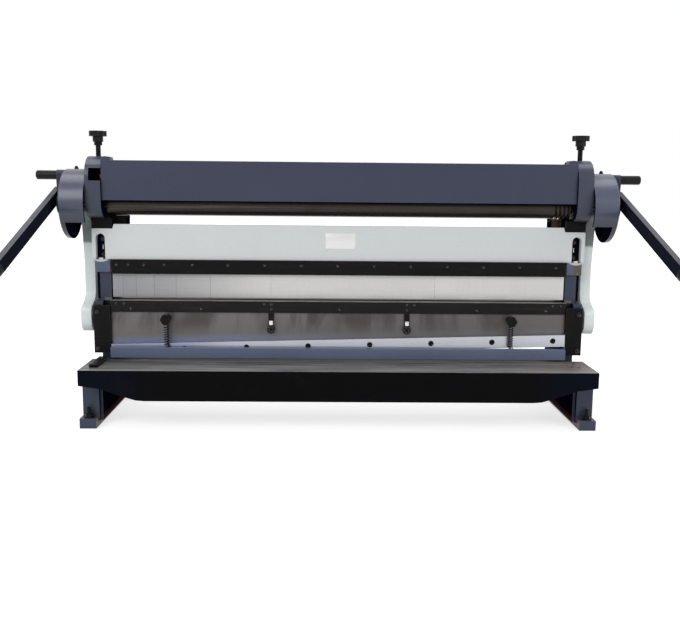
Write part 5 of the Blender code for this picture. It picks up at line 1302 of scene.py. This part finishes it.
# Each lamp's place, aim, size and the setting that holds its power
LAMPS = {
    "key": ((-2.2, -2.9, 2.7), (0.0, 0.1, 0.35), (2.8, 1.9), "key_power"),
    "fill": ((2.9, -2.4, 1.5), (0.0, 0.1, 0.35), (2.2, 2.2), "fill_power"),
    "top": ((0.0, 0.3, 2.9), (0.0, 0.1, 0.3), (3.4, 1.4), "top_power"),
}


def floor():
    bm = bmesh.new()
    bmesh.ops.create_grid(bm, x_segments=FLOOR_CELLS, y_segments=FLOOR_CELLS, size=FLOOR_HALF)
    mesh = bpy.data.meshes.new("studio_floor")
    bm.to_mesh(mesh)
    bm.free()
    made = show("studio_floor", mesh)
    made.location.z = -FLOOR_DROP
    nodes = Surface("pale_floor")
    tone = nodes.tint(FLOOR_GREY, 0.995 + 0.01 * nodes.noise(3.0))
    away = (nodes.x ** 2.0 + nodes.y ** 2.0).maths("SQRT")
    glow = nodes.mix(nodes.rise(away, GLOW_NEAR, GLOW_FAR), FLOOR_GLOW, WHITE)
    seen = nodes.mix(nodes.seen_directly(), BLACK, glow)
    nodes.set(base_color=tone, roughness=0.85, specular_ior_level=0.0, emission_color=seen,
              emission_strength=1.0)
    mesh.materials.append(nodes.material)


def lamp(name):
    place, target, size, power = LAMPS[name]
    data = bpy.data.lights.new(name + "_lamp", "AREA")
    data.shape = "RECTANGLE"
    data.size, data.size_y = size
    data.energy = getattr(studio(), power)
    made = show(name + "_lamp", data)
    made.location = place
    aim = Vector(target) - Vector(place)
    made.rotation_euler = aim.to_track_quat("-Z", "Y").to_euler()


def room_light():
    """White where it is seen, and a softer grey light on the machine."""
    world = bpy.data.worlds.new("studio_room")
    bpy.context.scene.world = world
    nodes = Nodes(world)
    back = nodes.tree.nodes["Background"]
    nodes.feed(back.inputs["Color"], WHITE)
    nodes.feed(back.inputs["Strength"],
               nodes.rise(nodes.seen_directly(), 0.0, 1.0, studio().room, 1.0))


def camera():
    s = studio()
    data = bpy.data.cameras.new("photo_camera")
    data.sensor_fit = "HORIZONTAL"
    data.sensor_width = SENSOR_MM
    data.lens = s.focal
    made = show("photo_camera", data)
    forward = Vector((math.sin(s.yaw) * math.cos(s.pitch), math.cos(s.yaw) * math.cos(s.pitch),
                      -math.sin(s.pitch)))
    right = forward.cross(Vector((0, 0, 1))).normalized()
    up = right.cross(forward)
    leaned = right * math.cos(s.roll) + up * math.sin(s.roll)
    upright = up * math.cos(s.roll) - right * math.sin(s.roll)
    turned = Matrix((leaned, upright, -forward)).transposed().to_4x4()
    ram_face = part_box("ram")[0].y
    made.matrix_world = Matrix.Translation((s.camera_x, ram_face - s.camera_back,
                                            s.camera_height)) @ turned
    bpy.context.scene.camera = made


# Operators, one for each group of pieces

class MACHINE_OT_frames(bpy.types.Operator):
    """Finishes the side frames and the tie bar between them"""
    bl_idname = "machine.frames"
    bl_label = "Side frames"

    def execute(self, context):
        dress_all(both("side_frame"), "frame_paint", "dark_inside", pick=frame_inside)
        dress("tie_bar", "blue_paint")
        return {"FINISHED"}


class MACHINE_OT_table(bpy.types.Operator):
    """Finishes the work table, its knife and its side gauge"""
    bl_idname = "machine.table"
    bl_label = "Work table"

    def execute(self, context):
        dress("work_table", "table_paint")
        dress("lower_knife", "oiled_steel", rounding=0.3)
        dress("side_gauge", "black_oxide")
        return {"FINISHED"}


class MACHINE_OT_ram(bpy.types.Operator):
    """Finishes the ram, the upper knife, the die and what they carry"""
    bl_idname = "machine.ram"
    bl_label = "Ram and die"

    def execute(self, context):
        dress("ram", "ram_steel")
        dress("upper_knife", "ground_steel", rounding=0.3)
        dress("v_die", "die_oxide", rounding=0.5)
        dress_all(both("die_strap") + both("guide_bolt"), "black_oxide", rounding=0.6)
        dress_all(both("rod_pin"), "bare_steel")
        return {"FINISHED"}


class MACHINE_OT_hold_down(bpy.types.Operator):
    """Finishes the hold-down bar, its studs and its springs"""
    bl_idname = "machine.hold_down"
    bl_label = "Hold-down bar"

    def execute(self, context):
        dress("hold_down_bar", "bar_blue_grey", rounding=0.4)
        dress_all(both("hold_down_stud"), "bare_steel", rounding=0.4)
        for name in both("hold_down_spring"):
            for slot in NODES[name].material_slots:
                slot.material = finish("dark_inside")
        return {"FINISHED"}


class MACHINE_OT_brake(bpy.types.Operator):
    """Finishes the upper beam, the clamp bar, the fingers, the beam's seats and the gib plates"""
    bl_idname = "machine.brake"
    bl_label = "Finger brake"

    def execute(self, context):
        dress("upper_beam", "grey_paint")
        dress("clamp_bar", "black_oxide")
        for number in range(1, len(FINGER_TONES) + 1):
            dress("finger_%d" % number, "finger_steel_%d" % number, rounding=0.2)
        dress_all(both("beam_seat"), "seat_steel")
        dress_all(both("gib_plate"), "black_oxide")
        return {"FINISHED"}


class MACHINE_OT_drive(bpy.types.Operator):
    """Finishes the connecting rods, the eccentrics, the drums and the levers"""
    bl_idname = "machine.drive"
    bl_label = "Rods, drums and levers"

    def execute(self, context):
        dress_all(both("connecting_rod"), "rod_paint")
        dress_all(both("eccentric"), "bare_steel")
        dress_all(both("drum"), "drum_paint", "dark_inside", pick=to_middle)
        dress_all(both("lever"), "lever_paint", "lever_side", pick=flat_side)
        dress_all(both("arm_grip") + both("end_grip"), "black_plastic")
        return {"FINISHED"}


class MACHINE_OT_rolls(bpy.types.Operator):
    """Finishes the roll housings, the tie beam, the rolls, their gears and blocks"""
    bl_idname = "machine.rolls"
    bl_label = "Slip roll"

    def execute(self, context):
        dress_all(both("roll_housing"), "housing_paint", "dark_inside", pick=housing_inside)
        dress("tie_beam", "blue_paint")
        dress_all(both("housing_seat"), "seat_oxide", "dark_inside", pick=to_middle)
        dress_all(("lower_roll", "upper_roll", "idler_roll"), "roll_steel", rounding=0.3)
        dress_all(("lower_roll_gear", "upper_roll_gear"), "bare_steel", rounding=0.2)
        dress_all(both("bearing_block"), "bronze", rounding=0.5)
        return {"FINISHED"}


HUB_LOW_DROP = 0.0304        # from a knob's top down to below its hub


class MACHINE_OT_knobs(bpy.types.Operator):
    """Finishes the star knobs: plastic heads on blackened screws with lock nuts"""
    bl_idname = "machine.knobs"
    bl_label = "Star knobs"

    def execute(self, context):
        for name in both("knob_screw"):
            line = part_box(name)[1].z - HUB_LOW_DROP
            dress(name, "black_plastic", "black_oxide", rounding=0.6,
                  pick=lambda place, facing, line=line: int(place.z <= line))
        return {"FINISHED"}


class MACHINE_OT_screws(bpy.types.Operator):
    """Fills the pieces' screw holes with screws, bolts and nuts, and adds black blocks and strips of
    painted shade at the beam's ends
    """
    bl_idname = "machine.screws"
    bl_label = "Screws and bolts"

    def execute(self, context):
        for make in (upper_knife_screws, lower_knife_screws, die_screws, clamp_screws,
                     strap_screws, gib_screws, beam_bolts, shade_blocks_in_slots, shade_strips_by_columns,
                     drum_screws, foot_bolts, gauge_screws):
            make()
        return {"FINISHED"}


class MACHINE_OT_fittings(bpy.types.Operator):
    """Adds the straps' blocks, the blank plate and the drums' oilers"""
    bl_idname = "machine.fittings"
    bl_label = "Small fittings"

    def execute(self, context):
        strap_blocks()
        blank_plate()
        drum_oilers()
        return {"FINISHED"}


class MACHINE_OT_studio(bpy.types.Operator):
    """Builds the floor, the lamps, the room light and the camera"""
    bl_idname = "machine.studio"
    bl_label = "Studio"

    def execute(self, context):
        floor()
        for name in LAMPS:
            lamp(name)
        room_light()
        camera()
        context.scene.view_settings.view_transform = "Standard"
        return {"FINISHED"}


OPERATORS = (MACHINE_OT_frames, MACHINE_OT_table, MACHINE_OT_ram, MACHINE_OT_hold_down,
             MACHINE_OT_brake, MACHINE_OT_drive, MACHINE_OT_rolls, MACHINE_OT_knobs,
             MACHINE_OT_screws, MACHINE_OT_fittings, MACHINE_OT_studio)


class MACHINE_PT_panel(bpy.types.Panel):
    """Lists the machine's settings and the operators that build it"""
    bl_idname = "MACHINE_PT_panel"
    bl_label = "Sheet metal machine"
    bl_space_type = "VIEW_3D"
    bl_region_type = "UI"
    bl_category = "Sheet Metal"

    def draw(self, context):
        for operator in OPERATORS:
            self.layout.operator(operator.bl_idname)
        for group in (looks(), screws(), studio()):
            column = self.layout.column()
            for name in group.__annotations__:
                column.prop(group, name)


CLASSES = (FinishSettings, ScrewSettings, StudioSettings) + OPERATORS + (MACHINE_PT_panel,)


def register():
    for each in CLASSES:
        bpy.utils.register_class(each)
    scene = bpy.types.Scene
    scene.machine_finish = bpy.props.PointerProperty(type=FinishSettings)
    scene.machine_screws = bpy.props.PointerProperty(type=ScrewSettings)
    scene.machine_studio = bpy.props.PointerProperty(type=StudioSettings)


def unregister():
    scene = bpy.types.Scene
    del scene.machine_finish, scene.machine_screws, scene.machine_studio
    for each in reversed(CLASSES):
        bpy.utils.unregister_class(each)


def main():
    register()
    for operator in OPERATORS:
        group, name = operator.bl_idname.split(".")
        getattr(getattr(bpy.ops, group), name)()


if __name__ == "__main__":
    main()
